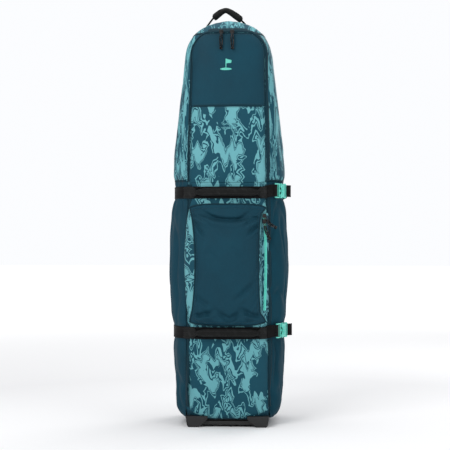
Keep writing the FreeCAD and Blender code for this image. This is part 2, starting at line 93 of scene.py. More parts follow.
class Nodes:
    """A short way to write a material's node tree."""

    def __init__(self, name):
        self.material = bpy.data.materials.new(name)
        self.material.use_nodes = True
        self.tree = self.material.node_tree
        self.shader = self.tree.nodes["Principled BSDF"]

    def plug(self, node, key, value):
        """Links a socket to a node's input, or sets that input to a constant."""
        if isinstance(value, bpy.types.NodeSocket):
            self.tree.links.new(value, node.inputs[key])
        elif value is not None:
            node.inputs[key].default_value = value

    def add(self, kind, values=None, **settings):
        node = self.tree.nodes.new(kind)
        for key, value in settings.items():
            setattr(node, key, value)
        for key, value in (values or {}).items():
            self.plug(node, key, value)
        return node

    def math(self, operation, a, b=0.0, c=0.0):
        return self.add("ShaderNodeMath", {0: a, 1: b, 2: c}, operation=operation).outputs[0]

    def times(self, a, b):
        return self.math("MULTIPLY", a, b)

    def plus(self, value, share, base):
        """The base, and a share of a value added to it."""
        return self.math("MULTIPLY_ADD", value, share, base)

    def mix(self, share, a, b):
        return self.add("ShaderNodeMix", {0: share, 6: a, 7: b}, data_type="RGBA").outputs[2]

    def dye(self, share, base, light):
        """A mix of two sRGB colours, each given from 0 to 255."""
        return self.mix(share, rgb(*base), rgb(*light))

    def ramp(self, value, low, high, start=0.0, end=1.0):
        keys = {0: value, 1: low, 2: high, 3: start, 4: end}
        return self.add("ShaderNodeMapRange", keys, clamp=True).outputs[0]

    def uv(self):
        return self.add("ShaderNodeUVMap", uv_map="cloth").outputs[0]

    def place(self):
        return self.add("ShaderNodeTexCoord").outputs["Object"]

    def stretched(self, vector, scale):
        return self.add("ShaderNodeMapping", {"Vector": vector, "Scale": scale}).outputs[0]

    def noise(self, vector, scale, detail=2.0, rough=0.5):
        values = {"Vector": vector, "Scale": scale, "Detail": detail, "Roughness": rough}
        return self.add("ShaderNodeTexNoise", values).outputs["Fac"]

    def wave(self, vector, scale, direction, distortion=0.0):
        values = {"Vector": vector, "Scale": scale, "Distortion": distortion}
        return self.add("ShaderNodeTexWave", values, bands_direction=direction).outputs["Fac"]

    def bump(self, height, distance, strength=1.0):
        values = {"Height": height, "Distance": distance, "Strength": strength}
        return self.add("ShaderNodeBump", values).outputs[0]

    def finish(self, color, roughness, normal=None, **constants):
        """The finished material; constants name the shader's other inputs."""
        values = {"Base Color": color, "Roughness": roughness, "Normal": normal, **constants}
        for key, value in values.items():
            self.plug(self.shader, key.replace("_", " "), value)
        return self.material


def rgb(red, green, blue):
    """An sRGB colour from 0 to 255, as linear light."""
    linear = []
    for value in (red, green, blue):
        share = value / 255
        linear.append(share / 12.92 if share <= 0.04045 else ((share + 0.055) / 1.055) ** 2.4)
    return (*linear, 1.0)


WAVES_PER_METRE = 20  # of a wave texture at scale one
THREAD_PITCH, THREAD_DEPTH = 0.0011, 0.00012


def weave(n, uv):
    """The bump of a plain weave."""
    scale = 1 / (WAVES_PER_METRE * THREAD_PITCH)
    crossed = n.times(n.wave(uv, scale, "X"), n.wave(uv, scale, "Y"))
    slub = n.noise(uv, 900.0)
    return n.bump(n.plus(slub, 0.5, crossed), THREAD_DEPTH)


def plain_cloth(name, base, light, specular=0.16):
    """Dark woven polyester: slightly uneven dye, fine slubs, a soft sheen."""
    n = Nodes(name)
    uv = n.uv()
    broad = n.noise(uv, 7.0, 3.0, 0.6)
    heather = n.noise(n.stretched(uv, (160, 900, 1)), 1.0)
    color = n.dye(n.ramp(n.plus(heather, 0.45, broad), 0.45, 1.0), base, light)
    rough = n.ramp(broad, 0.3, 0.7, 0.62, 0.78)
    sheen = {"Sheen_Weight": 0.02, "Sheen_Roughness": 0.5}
    return n.finish(color, rough, weave(n, uv), Specular_IOR_Level=specular, **sheen)


def zigzag(n, value, turns, reach):
    """A triangle wave of value, from -reach to reach."""
    folded = n.math("PINGPONG", n.times(value, turns), 0.5)
    return n.times(n.math("SUBTRACT", folded, 0.25), 4 * reach)


SIDE_STRETCH = 0.72  # how far the print of the sides is drawn out upwards
BLOT_SCALE, BLOT_SQUASH = 23.0, 0.82


def print_cloth(name, tight, cover):
    """The two-tone print: jagged blots, with thin contour lines inside and outside their edges.

    tight narrows the print across the cloth, and cover is the level of noise at a blot's edge.
    """
    n = Nodes(name)
    uv = n.uv()
    apart = n.add("ShaderNodeSeparateXYZ", {0: uv})
    x, y = apart.outputs[0], apart.outputs[1]
    if tight > 1:
        x = n.times(x, tight)
        y = n.times(y, SIDE_STRETCH)
    at = n.add("ShaderNodeCombineXYZ", {0: x, 1: y}).outputs[0]
    busy = n.noise(at, 12.0, 1.0)
    drift = n.noise(at, 17.0, 1.0)
    local = n.ramp(busy, 0.36, 0.60, 0.75, 1.15)
    wide = zigzag(n, n.plus(drift, 0.05, x), 29.0, 0.0180)
    fine = zigzag(n, n.plus(busy, 0.04, n.plus(y, 0.30, x)), 55.0, 0.0042)
    across = zigzag(n, n.plus(drift, 0.10, n.plus(x, 0.3, y)), 33.0, 0.0070)
    across = n.times(across, n.ramp(drift, 0.40, 0.58, 0.35, 1.0))
    warped_x = n.plus(across, local, x)
    warped_y = n.plus(n.math("ADD", wide, fine), local, y)
    place = n.add("ShaderNodeCombineXYZ", {0: warped_x, 1: n.times(warped_y, BLOT_SQUASH)}).outputs[0]
    field = n.noise(place, BLOT_SCALE, 0.0)
    contour = n.math("GREATER_THAN", field, cover)
    for level, width, calm in ((cover + 0.059, 0.017, 0.45), (cover - 0.079, 0.023, 0.40)):
        near = n.math("LESS_THAN", n.math("ABSOLUTE", n.math("SUBTRACT", field, level)), width)
        shown = n.times(near, n.math("GREATER_THAN", busy, calm))
        flipped = n.math("SUBTRACT", 1.0, contour)
        contour = n.add("ShaderNodeMix", {0: shown, 2: contour, 3: flipped}).outputs[0]
    dark = n.dye(n.noise(uv, 6.0), (9, 64, 80), (14, 74, 91))
    pale = n.dye(n.noise(uv, 8.0), (93, 158, 166), (106, 170, 178))
    sheen = {"Sheen_Weight": 0.04, "Sheen_Roughness": 0.5}
    return n.finish(n.mix(contour, dark, pale), 0.68, weave(n, uv), Specular_IOR_Level=0.20, **sheen)


def webbing(name, base, light, pitch=0.0021):
    """Flat nylon webbing: ribs along its length crossed by a fine weft, with worn lighter threads."""
    n = Nodes(name)
    uv = n.uv()
    ribs = n.wave(uv, 1 / (WAVES_PER_METRE * pitch), "Y")
    weft = n.wave(uv, 1 / (WAVES_PER_METRE * pitch * 0.55), "X", 0.6)
    fuzz = n.noise(uv, 1400.0)
    height = n.plus(weft, 0.35, n.plus(fuzz, 0.4, ribs))
    worn = n.ramp(n.noise(uv, 60.0, 3.0), 0.52, 0.75)
    color = n.dye(n.times(worn, 0.5), base, light)
    sheen = {"Sheen_Weight": 0.02, "Sheen_Roughness": 0.5}
    return n.finish(color, 0.66, n.bump(height, 0.00035), Specular_IOR_Level=0.14, **sheen)


def moulded(name, base, light, roughness, grain=1300.0, depth=0.00012, **constants):
    """Moulded plastic with a fine spark-eroded grain, and a slight bloom on handled places."""
    n = Nodes(name)
    place = n.place()
    speck = n.noise(place, grain, 2.0, 0.6)
    bloom = n.noise(place, 26.0, 3.0, 0.6)
    color = n.dye(n.ramp(bloom, 0.35, 0.8), base, light)
    rough = n.ramp(bloom, 0.3, 0.75, roughness - 0.07, roughness + 0.08)
    return n.finish(color, rough, n.bump(speck, depth, 0.6), **constants)


def metal(name, base, roughness):
    """Bare metal with turning marks."""
    n = Nodes(name)
    marks = n.noise(n.stretched(n.place(), (4000, 60, 60)), 1.0)
    rough = n.ramp(marks, 0.3, 0.7, roughness - 0.08, roughness + 0.1)
    return n.finish(rgb(*base), rough, n.bump(marks, 0.00004), Metallic=1.0)


def braid(name, base, fleck):
    """Braided cord: crossing strands, with a few lighter tracer threads."""
    n = Nodes(name)
    cells = n.add("ShaderNodeTexVoronoi", {"Vector": n.place(), "Scale": 820.0})
    height = n.math("SUBTRACT", 1.0, cells.outputs["Distance"])
    chance = n.add("ShaderNodeSeparateColor", {0: cells.outputs["Color"]}).outputs[0]
    color = n.dye(n.math("GREATER_THAN", chance, 0.90), base, fleck)
    return n.finish(color, 0.75, n.bump(height, 0.0004), Specular_IOR_Level=0.2)


def lining(name, base, light):
    """Dark lining cloth with a chequered weave."""
    n = Nodes(name)
    place = n.place()
    squares = {"Vector": n.stretched(place, (170, 170, 170)), "Scale": 1.0}
    check = n.add("ShaderNodeTexChecker", squares).outputs["Fac"]
    color = n.dye(n.plus(check, 0.25, n.times(n.noise(place, 30.0), 0.5)), base, light)
    return n.finish(color, 0.75, n.bump(n.noise(place, 900.0), 0.0002), Sheen_Weight=0.15)


MATERIAL = {
    "plain": plain_cloth("plain_cloth", (8, 52, 67), (17, 64, 80)),
    # a copy of the plain cloth, a shade darker in its base and less glossy: painted shade for the right
    # gusset, on the side away from the key light
    "side": plain_cloth("side_cloth", (8, 51, 65), (17, 65, 81), 0.09),
    "print": print_cloth("print_cloth", 1.0, 0.545),
    "print_side": print_cloth("print_side_cloth", 1.7, 0.562),
    "trim": plain_cloth("trim_cloth", (5, 40, 51), (11, 50, 62)),
    "webbing": webbing("black_webbing", (8, 8, 9), (24, 25, 25)),
    # the patches' webbing is a lighter copy of the black webbing: painted highlight on the raised patches
    "patch": webbing("patch_webbing_painted_highlight", (26, 27, 27), (48, 49, 49)),
    "grip": webbing("grip_cloth", (18, 19, 19), (38, 39, 39), 0.0014),
    "thread": moulded("black_thread", (12, 12, 13), (30, 30, 30), 0.6, 4000.0),
    "teal_thread": moulded("teal_thread", (14, 50, 62), (24, 66, 80), 0.6, 4000.0),
    "mint": moulded("mint_plastic", (92, 208, 190), (108, 220, 204), 0.36, 2200.0, 0.00004, Coat_Weight=0.1),
    # a darker mint: painted shade for the floor of the buckle plug's window
    "mint_painted_shade": moulded("mint_shaded", (0, 124, 106), (2, 144, 124), 0.45, 2200.0, 0.00004),
    "mint_tape": webbing("mint_tape", (104, 220, 202), (126, 232, 216), 0.0012),
    "mint_mark": moulded("mint_mark", (84, 188, 172), (100, 200, 184), 0.5, 1800.0, 0.00005),
    "black": moulded("black_plastic", (17, 17, 18), (30, 30, 31), 0.5),
    "hub": moulded("hub_plastic", (40, 41, 43), (58, 59, 61), 0.42),
    "rubber": moulded("tyre_rubber", (16, 16, 16), (38, 37, 36), 0.72, 700.0, 0.0002),
    "zinc": moulded("slider_enamel", (9, 9, 10), (20, 20, 21), 0.3, 900.0, 0.00003, Coat_Weight=0.3),
    "steel": metal("plated_steel", (170, 172, 175), 0.32),
    "cord": braid("braided_cord", (5, 5, 6), (104, 104, 104)),
    "lining": lining("lining_cloth", (24, 26, 29), (52, 56, 60)),
    "board": moulded("stiffener_board", (26, 27, 29), (42, 43, 45), 0.55, 300.0, 0.0003),
}


# ================================================================ the measured skin


def tree_of(names):
    """One search tree over several CAD nodes."""
    corners, faces = [], []
    for name in names:
        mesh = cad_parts[name].data
        first = len(corners)
        corners += [v.co.copy() for v in mesh.vertices]
        faces += [[first + i for i in p.vertices] for p in mesh.polygons]
    return BVHTree.FromPolygons(corners, faces)


WALL_NODES = (
    "hood_plain_panel", "hood_print_panel", "middle_print_panel", "lower_print_panel",
    "upper_gusset", "left_gusset", "right_gusset", "back_panel", "bottom_panel",
)


SEAM_GAP = 0.0025  # the zipper's gap in the walls, where a ray may find no cloth


def measure_skin():
    """The skin's half width, front depth and back depth at many heights, read from the frame's walls."""
    walls = tree_of(WALL_NODES)
    levels, sizes = [], []
    steps, margin = 210, 0.0006
    for k in range(steps + 1):
        z = FLOOR_OF_SKIN + margin + (CROWN - FLOOR_OF_SKIN - 2 * margin) * k / steps
        rays = (((1, 0, z), (-1, 0, 0)), ((0, -1, z), (0, 1, 0)), ((0, 1, z), (0, -1, 0)))
        reach = []
        for start, way in rays:
            hit = walls.ray_cast(Vector(start), Vector(way))[0]
            reach.append(abs(hit.x + hit.y) if hit else 0.0)
        near_gap = min(abs(z - HINGE_Z), abs(z - SEAM_TOP[1])) < SEAM_GAP
        if min(reach) > 0.01 and not near_gap:
            levels.append(z)
            sizes.append(reach)
    return np.array(levels), np.array(sizes)


LEVELS, SIZES = measure_skin()


def sizes_at(z):
    """Half width, front depth and back depth at each height of an array."""
    return [np.interp(z, LEVELS, SIZES[:, k]) for k in range(3)]


def front_depth(x, z):
    """The y of the front skin at x and z."""
    half, front, _ = sizes_at(z)
    share = np.clip(np.abs(x) / half, 0, 0.999)
    return -front * (1 - share**ROUND_FRONT) ** (1 / ROUND_FRONT)


def ring_point(angle, z):
    """The skin at a plan angle and height."""
    half, front, back = sizes_at(z)
    c, s = np.cos(angle), np.sin(angle)
    power = np.where(s > 0, ROUND_BACK, ROUND_FRONT)
    depth = np.where(s > 0, back, front)
    r = ((np.abs(c) / half) ** power + (np.abs(s) / depth) ** power) ** (-1 / power)
    return r * c, r * s


def arc_through(a, b, c, count):
    """Points of the circle through three points of a plane, from a to c."""
    ax, ay, bx, by, cx, cy = *a, *b, *c
    d = 2 * (ax * (by - cy) + bx * (cy - ay) + cx * (ay - by))
    aa, bb, cc = ax**2 + ay**2, bx**2 + by**2, cx**2 + cy**2
    ux = (aa * (by - cy) + bb * (cy - ay) + cc * (ay - by)) / d
    uy = (aa * (cx - bx) + bb * (ax - cx) + cc * (bx - ax)) / d
    r = math.hypot(ax - ux, ay - uy)
    first, last = (math.atan2(p[1] - uy, p[0] - ux) for p in (a, c))
    last = first + (last - first + math.pi) % (2 * math.pi) - math.pi
    turns = np.linspace(first, last, count)
    return np.stack([ux + r * np.cos(turns), uy + r * np.sin(turns)], 1)


SEAM_SIDE = np.concatenate([
    arc_through(SEAM_LOW, SEAM_MIDDLE, SEAM_SHOULDER, 60),
    arc_through(SEAM_SHOULDER, SEAM_CORNER, SEAM_TOP, 24)[1:],
])


def seam_half(z):
    """Half the front panel's width at a height."""
    return np.interp(z, SEAM_SIDE[:, 1], SEAM_SIDE[:, 0])


def hump(value, middle, width):
    """A smooth bump of height one."""
    return np.exp(-(((value - middle) / width) ** 2))


def smooth(value, low, high):
    """Smooth step from 0 at low to 1 at high."""
    t = np.clip((value - low) / (high - low), 0, 1)
    return t * t * (3 - 2 * t)


def noise_field(points, scale, seed):
    """Soft noise at each point of an array, from about -1 to 1."""
    shift = Vector((seed * 7.13, seed * 3.71, seed * 5.19))
    scale = Vector(scale)
    flat = points.reshape(-1, 3)
    values = [noise.noise(Vector(p) * scale + shift) for p in flat.tolist()]
    return np.array(values).reshape(points.shape[:-1])


# ================================================================ mesh tools


def make(name, points, faces, material, cloth=None):
    """A smooth-shaded mesh object. cloth holds each point's place on the flat cloth."""
    mesh = bpy.data.meshes.new(name)
    mesh.from_pydata(np.asarray(points).tolist(), [], np.asarray(faces, dtype=object).tolist())
    if cloth is not None:
        layer = mesh.uv_layers.new(name="cloth")
        corner = np.zeros(len(mesh.loops), dtype=np.int32)
        mesh.loops.foreach_get("vertex_index", corner)
        layer.data.foreach_set("uv", np.asarray(cloth, dtype=np.float32)[corner].ravel())
    mesh.materials.append(MATERIAL[material])
    mesh.polygons.foreach_set("use_smooth", [True] * len(mesh.polygons))
    mesh.update()
    return place_object(name, mesh)


def unit(vectors):
    """Each vector of an array at length one."""
    return vectors / np.maximum(np.linalg.norm(vectors, axis=-1, keepdims=True), 1e-12)


def quads(rows, columns, closed=False):
    """The faces of a grid of points, its columns closed into a ring or not."""
    faces = []
    last = columns if closed else columns - 1
    for r in range(rows - 1):
        for c in range(last):
            d = (c + 1) % columns
            low, high = r * columns, (r + 1) * columns
            faces.append((low + c, low + d, high + d, high + c))
    return faces


def lengths_along(path):
    """The distance along a path at each of its points."""
    steps = np.linalg.norm(np.diff(path, axis=0), axis=1)
    return np.concatenate([[0], np.cumsum(steps)])


def resample(path, out, pitch):
    """A path and its outward vectors at even steps."""
    run = lengths_along(path)
    count = max(2, int(round(run[-1] / pitch)) + 1)
    at = np.linspace(0, run[-1], count)
    even = np.stack([np.interp(at, run, path[:, k]) for k in range(3)], 1)
    facing = np.stack([np.interp(at, run, out[:, k]) for k in range(3)], 1)
    return even, unit(facing)


def frames(path, out):
    """At each point of a path: its direction, the way across, and the outward way square to both."""
    along = unit(np.gradient(path, axis=0))
    across = unit(np.cross(along, out))
    return along, across, unit(np.cross(across, along))


def sweep(name, path, out, profile, material, taper=None, cap=True):
    """A profile of (across, out) points carried along a path; its cloth runs along the path."""
    along, across, outward = frames(path, out)
    profile = np.asarray(profile, float)
    scale = np.ones((len(path), 2)) if taper is None else np.asarray(taper)
    ring = profile[None, :, :] * scale[:, None, :]
    points = path[:, None, :] + ring[..., :1] * across[:, None, :] + ring[..., 1:] * outward[:, None, :]
    rows, columns = len(path), len(profile)
    faces = quads(rows, columns, True)
    if cap:
        faces.append(tuple(range(columns))[::-1])
        faces.append(tuple((rows - 1) * columns + k for k in range(columns)))
    run = lengths_along(path)
    cloth = np.zeros((rows, columns, 2))
    cloth[..., 0] = run[:, None]
    cloth[..., 1] = profile[None, :, 0]
    return make(name, points.reshape(-1, 3), faces, material, cloth.reshape(-1, 2))


def corner_arcs(corners, r, count):
    """The rounded corners of a shape, each given by its arc's centre and starting angle in degrees."""
    points = []
    for x, y, start in corners:
        for k in range(count + 1):
            turn = math.radians(start + 90 * k / count)
            points.append((x + r * math.cos(turn), y + r * math.sin(turn)))
    return points


def flat_section(width, thick, base):
    """A strip's section with rounded edges: width across, standing from base to base plus thick."""
    half, r = width / 2, thick * 0.45
    low, high = base + r, base + thick - r
    corners = ((half - r, low, -90), (half - r, high, 0), (-half + r, high, 90), (-half + r, low, 180))
    return corner_arcs(corners, r, 3)


def round_section(radius, count, lift=0.0):
    """A round section, its middle lifted off the path."""
    turns = [2 * math.pi * k / count for k in range(count)]
    return [(radius * math.cos(t), lift + radius * math.sin(t)) for t in turns]


def many(name, pieces, material):
    """One object of many small closed shapes, each given as (points, faces)."""
    points, faces, first = [], [], 0
    for shape, sides in pieces:
        points.append(shape)
        faces += [tuple(first + i for i in side) for side in sides]
        first += len(shape)
    cloth = np.concatenate(points)[:, [0, 2]]
    return make(name, np.concatenate(points), faces, material, cloth)


BEAD_RINGS = ((-1.0, 0.35), (-0.55, 1.0), (0.55, 1.0), (1.0, 0.35))  # place along a stitch, and size
BEAD_SIDES = 6
STITCH_LENGTH, STITCH_THICK, STITCH_LIFT = 0.0031, 0.00042, 0.0002
COIL_RADIUS, COIL_PITCH, COIL_GROOVE = 0.0010, 0.00135, 0.28


def stitching(name, path, out, material="thread", pitch=0.0046):
    """A row of thread stitches along a path."""
    even, facing = resample(np.asarray(path), np.asarray(out), pitch)
    sides = quads(len(BEAD_RINGS), BEAD_SIDES, True)
    last = (len(BEAD_RINGS) - 1) * BEAD_SIDES
    sides += [tuple(range(BEAD_SIDES))[::-1], tuple(last + k for k in range(BEAD_SIDES))]
    turns = np.arange(BEAD_SIDES)[:, None] * 2 * math.pi / BEAD_SIDES
    pieces = []
    for p, t, s, o in zip(even, *frames(even, facing)):
        rings = []
        for where, size in BEAD_RINGS:
            middle = p + t * (where * STITCH_LENGTH / 2) + o * STITCH_LIFT
            rings.append(middle + STITCH_THICK * size * (np.cos(turns) * s + np.sin(turns) * o))
        pieces.append((np.concatenate(rings), sides))
    return many(name, pieces, material)


def ribbed(name, path, out, pitch, section, low, material):
    """A section swept along a path, every other ring shrunk to low: the ribs of a zipper's coil."""
    even, facing = resample(np.asarray(path), np.asarray(out), pitch)
    swell = np.where((np.arange(len(even)) % 2 == 0)[:, None], (1.0, 1.0), low)
    return sweep(name, even, facing, section, material, swell)


def coil(name, path, out):
    """Zipper coil: a ribbed cord of teeth along a path."""
    low = 1.0 - COIL_GROOVE
    return ribbed(name, path, out, COIL_PITCH / 2, round_section(COIL_RADIUS, 7), (low, low), "black")


def thicken(obj, thickness, inner=None):
    """Gives a sheet its thickness, inwards, with a lining on the inside."""
    solid = obj.modifiers.new("wall", "SOLIDIFY")
    solid.thickness = thickness
    solid.offset = -1
    if inner is not None:
        obj.data.materials.append(MATERIAL[inner])
        solid.material_offset = 1
    return obj


# ================================================================ the skin as one grid

PITCH = 0.0038
LOW_ROW = 0.110
FOLD_GAP = 0.0002
ROW_ANCHORS = (
    LOW_ROW, LOWER_Z, HINGE_Z - FOLD_GAP, HINGE_Z + FOLD_GAP, GUSSET_Z, PRINT_Z,
    SEAM_SHOULDER[1], SEAM_CORNER[1], SEAM_TOP[1],
)
BACK_SEAM = 0.130
COLUMNS = FRONT_COLS + 2 * SIDE_COLS + BACK_COLS
RIGHT_SEAM, RIGHT_BACK = FRONT_COLS, FRONT_COLS + SIDE_COLS
LEFT_BACK = RIGHT_BACK + BACK_COLS


def level_rows():
    """The heights of the grid's rows above LOW_ROW, with a row exactly on every seam."""
    rows = []
    for low, high in zip(ROW_ANCHORS, ROW_ANCHORS[1:]):
        count = max(1, round((high - low) / PITCH))
        rows += list(np.linspace(low, high, count + 1)[1:])
    turns = np.arange(1, CROWN_ROWS + 1) / CROWN_ROWS
    rows += list(SEAM_TOP[1] + (CROWN - 0.0008 - SEAM_TOP[1]) * np.sin(turns * math.pi / 2))
    return rows


def column_span(z, start, end, count):
    """count even steps along the ring at height z, from one plan angle to another."""
    angles = np.linspace(start, end, 160)
    x, y = ring_point(angles, np.full(160, z))
    run = np.concatenate([[0], np.cumsum(np.hypot(np.diff(x), np.diff(y)))])
    even = np.interp(np.linspace(0, run[-1], count + 1), run, angles)
    x, y = ring_point(even, np.full(count + 1, z))
    return x, y, np.linspace(0, run[-1], count + 1)


def grid_row(z, low_seam):
    """One ring of the grid. low_seam lowers the front's points to the curved hem; z is used elsewhere."""
    half, _, back = (float(v) for v in sizes_at(z))
    top = min(z, SEAM_TOP[1])
    wide = float(seam_half(max(top, SEAM_LOW[1])))
    if z > SEAM_TOP[1]:
        wide *= half / float(sizes_at(SEAM_TOP[1])[0])
    share = np.linspace(-1, 1, FRONT_COLS + 1)
    x = share * wide
    z_front = np.full(FRONT_COLS + 1, z) if low_seam is None else low_seam(share)
    y = front_depth(x, z_front)
    start = math.atan2(float(front_depth(wide, z)), wide)
    deep = min(BACK_SEAM, 0.93 * back)
    end = math.atan2(deep, half * (1 - (deep / back) ** ROUND_BACK) ** (1 / ROUND_BACK))
    sx, sy, run = column_span(z, start, end, SIDE_COLS)
    bx, by, back_run = column_span(z, end, math.pi - end, BACK_COLS)
    xs = np.concatenate([x, sx[1:], bx[1:], -sx[::-1][1:-1]])
    ys = np.concatenate([y, sy[1:], by[1:], sy[::-1][1:-1]])
    zs = np.concatenate([z_front, np.full(len(xs) - FRONT_COLS - 1, z)])
    along = np.concatenate([x, wide + run[1:], wide + run[-1] + back_run[1:], -wide - run[::-1][1:-1]])
    return np.stack([xs, ys, zs], 1), along


HEM_START = 0.030  # the height of the first curved row at the sides and the back
HEM_LOW, HEM_SWEEP = 0.023, 0.029  # the front's lower seam at its middle, and its rise to the corners


def build_grid():
    """The smooth skin: its points, and each point's distance round the case."""
    rows = [grid_row(FLOOR_OF_SKIN + 0.0002, None)]
    low_steps = int((LOW_ROW - HEM_START) / PITCH)
    for k in range(low_steps + 1):
        share = k / low_steps

        def curved(u, share=share):
            seam = HEM_LOW + HEM_SWEEP * np.abs(u) ** 2.2
            return seam + (LOW_ROW - seam) * share

        rows.append(grid_row(HEM_START + (LOW_ROW - HEM_START) * share, curved))
    rows += [grid_row(z, None) for z in level_rows()]
    points, runs = zip(*rows)
    return np.array(points), np.array(runs)


def grid_normals(points):
    """The outward unit normal at each point of the grid."""
    round_way = np.roll(points, -1, 1) - np.roll(points, 1, 1)
    up_way = np.gradient(points, axis=0)
    return unit(np.cross(round_way, up_way))


def row_of(z):
    """The grid row at a seam's height."""
    return int(np.argmin(np.abs(BARE[:, RIGHT_BACK, 2] - z)))


BARE, AROUND = build_grid()
NORMAL = grid_normals(BARE)
SEAM_ROW = 1


def seam_distance():
    """How far each grid point is from the nearer front seam, in metres, and whether it is on the front."""
    column = np.arange(COLUMNS)
    on_front = column <= FRONT_COLS
    wide = AROUND[:, RIGHT_SEAM][:, None]
    return np.abs(np.abs(AROUND) - wide), on_front


def relief():
    """How far each grid point stands off the smooth skin: folds, puckers and pulled-in seams."""
    z = BARE[..., 2]
    from_seam, on_front = seam_distance()
    on_front = on_front[None, :] & (z < SEAM_TOP[1] + 0.001)
    column = np.arange(COLUMNS)[None, :]
    behind = (column >= RIGHT_BACK) & (column <= LEFT_BACK)
    side = ~on_front & ~behind
    upper = smooth(z, GUSSET_Z - 0.01, GUSSET_Z + 0.03)
    broad = noise_field(BARE, (7, 7, 3.2), 1)
    folds = noise_field(BARE, (22, 22, 3.6), 2)
    fine = noise_field(BARE, (60, 60, 14), 3)
    crumple = noise_field(BARE, (38, 38, 26), 4)
    ridge = np.abs(noise_field(BARE, (15, 15, 5), 5))
    # loose folds on the sides, a calmer front, and sharp drags where the ridges cross zero
    height = 0.0012 * broad
    height += np.where(side, 0.0060 * folds * (1 - 0.55 * upper) + 0.0013 * fine, 0.0)
    height += np.where(on_front, 0.0010 * folds + 0.0005 * fine, 0.0)
    height -= np.where(side, 0.0050 * hump(ridge, 0, 0.09) * (1 - 0.6 * upper), 0.0)
    # puckers beside each strap, which holds the cloth down beneath it
    for strap_z in (UPPER_Z, LOWER_Z):
        away = np.abs(z - strap_z)
        pucker = noise_field(BARE, (48, 48, 6), 6 + strap_z)
        height += 0.0022 * pucker * hump(away, 0.028, 0.030)
        height += 0.0028 * hump(away, 0.052, 0.026) * np.where(on_front, 0.5, 1.0)
        held = smooth(away, 0.017, 0.030)
        height = np.where(height > 0, height * held, height * (0.35 + 0.65 * held))
    # crumpled cloth near the floor, then the seams, which are pulled in
    height += 0.0034 * crumple * (1 - smooth(z, 0.06, 0.24)) * ~behind
    height -= 0.0023 * hump(from_seam, 0, 0.012) * ~behind
    back_seam = AROUND[:, RIGHT_BACK][:, None]
    back_gap = np.minimum(np.abs(AROUND - back_seam), np.abs(AROUND + back_seam))
    height -= 0.0022 * hump(back_gap, 0, 0.011)
    height -= np.where(on_front, 0.0016 * hump(z, PRINT_Z, 0.007), 0.0)
    height -= np.where(side, 0.0022 * hump(z, GUSSET_Z, 0.009), 0.0)
    # the back lies flat on its board, and everything fades out at the foot and at the crown
    height = np.where(behind, -np.abs(height) * 0.8, height)
    height *= smooth(z, 0.026, 0.060) * (1 - 0.7 * smooth(z, 1.15, CROWN))
    return np.where(np.isin(column, (0, RIGHT_SEAM)), -0.0021, height)


SKIN = BARE + NORMAL * relief()[..., None]
NORMAL = grid_normals(SKIN)
TOP_ROW = row_of(SEAM_TOP[1])


WELL_IN, WELL_OUT, WELL_FRONT, WELL_TOP = 0.0825, 0.1215, 0.096, 0.082


def outside_wells(points, faces):
    """The faces that lie outside the blocks which the wheel housings take out of the cloth."""
    x, y, z = np.array([points[list(f)].mean(0) for f in faces]).T
    hidden = (np.abs(x) > WELL_IN) & (np.abs(x) < WELL_OUT) & (y > WELL_FRONT) & (z < WELL_TOP)
    return [f for f, inside in zip(faces, hidden) if not inside]


def patch(name, rows, columns, material, wells=False, offset=0.0, lift=None):
    """A piece of cloth cut from the skin's grid, between rows and between columns, both included."""
    picked = [c % COLUMNS for c in range(columns[0], columns[1] + 1)]
    used = slice(rows[0], rows[1] + 1)
    normal = NORMAL[used][:, picked]
    grid = SKIN[used][:, picked] + offset * normal
    if lift is not None:
        grid = grid + lift(grid)[..., None] * normal
    points = grid.reshape(-1, 3)
    run = AROUND[used][:, picked].copy()
    if columns[1] > COLUMNS - 1:
        run[:, -1] = -AROUND[used, RIGHT_SEAM]
    cloth = np.stack([run, grid[..., 2]], -1).reshape(-1, 2)
    faces = quads(*grid.shape[:2])
    if wells:
        faces = outside_wells(points, faces)
    return make(name, points, faces, material, cloth)


def clean(obj):
    """Deletes points that no face uses."""
    work = bmesh.new()
    work.from_mesh(obj.data)
    loose = [v for v in work.verts if not v.link_faces]
    bmesh.ops.delete(work, geom=loose, context="VERTS")
    work.to_mesh(obj.data)
    work.free()
    return obj


def on_flap(obj):
    """A piece of the flap, its transform baked into its mesh."""
    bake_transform(obj)
    return obj


def case_trim(obj, *nodes):
    """A finished piece that rides on the case."""
    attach(obj, "case")
    if nodes:
        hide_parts(*nodes)
    return obj


def wall_cloth():
    """The sewn panels: plain and printed cloth on the front, gussets round the sides, and the back."""
    fold = row_of(HINGE_Z - FOLD_GAP)
    print_row, gusset_row, strap_row = row_of(PRINT_Z), row_of(GUSSET_Z), row_of(LOWER_Z)
    front, right, left = (0, FRONT_COLS), (RIGHT_SEAM, RIGHT_BACK), (LEFT_BACK, COLUMNS)
    hood = thicken(patch("hood_plain_cloth", (print_row, TOP_ROW), front, "plain"), WALL, "lining")
    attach(hood, "flap")
    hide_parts("hood_plain_panel")
    printed = thicken(patch("hood_print_cloth", (fold + 1, print_row), front, "print"), WALL, "lining")
    on_flap(printed)
    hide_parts("hood_print_panel")
    cases = (
        ("middle_print_cloth", (strap_row, fold), front, "print", "middle_print_panel"),
        ("lower_print_cloth", (SEAM_ROW, strap_row), front, "print", "lower_print_panel"),
        # the right gusset takes the side cloth, a darker and less glossy copy, as painted shade; the left
        # gusset, towards the key light, takes the plain cloth
        ("right_side_cloth", (SEAM_ROW, gusset_row), right, "side", "right_gusset"),
        ("left_side_cloth", (SEAM_ROW, gusset_row), left, "plain", "left_gusset"),
        ("right_upper_cloth", (gusset_row, TOP_ROW), right, "print_side", "upper_gusset"),
        ("left_upper_cloth", (gusset_row, TOP_ROW), left, "print_side", "upper_gusset"),
        ("back_cloth", (SEAM_ROW, TOP_ROW), (RIGHT_BACK, LEFT_BACK), "plain", "back_panel"),
    )
    for name, rows, columns, material, node in cases:
        cloth = clean(patch(name, rows, columns, material, wells=True))
        case_trim(thicken(cloth, WALL, "lining"), node)
    crown_and_bottom()


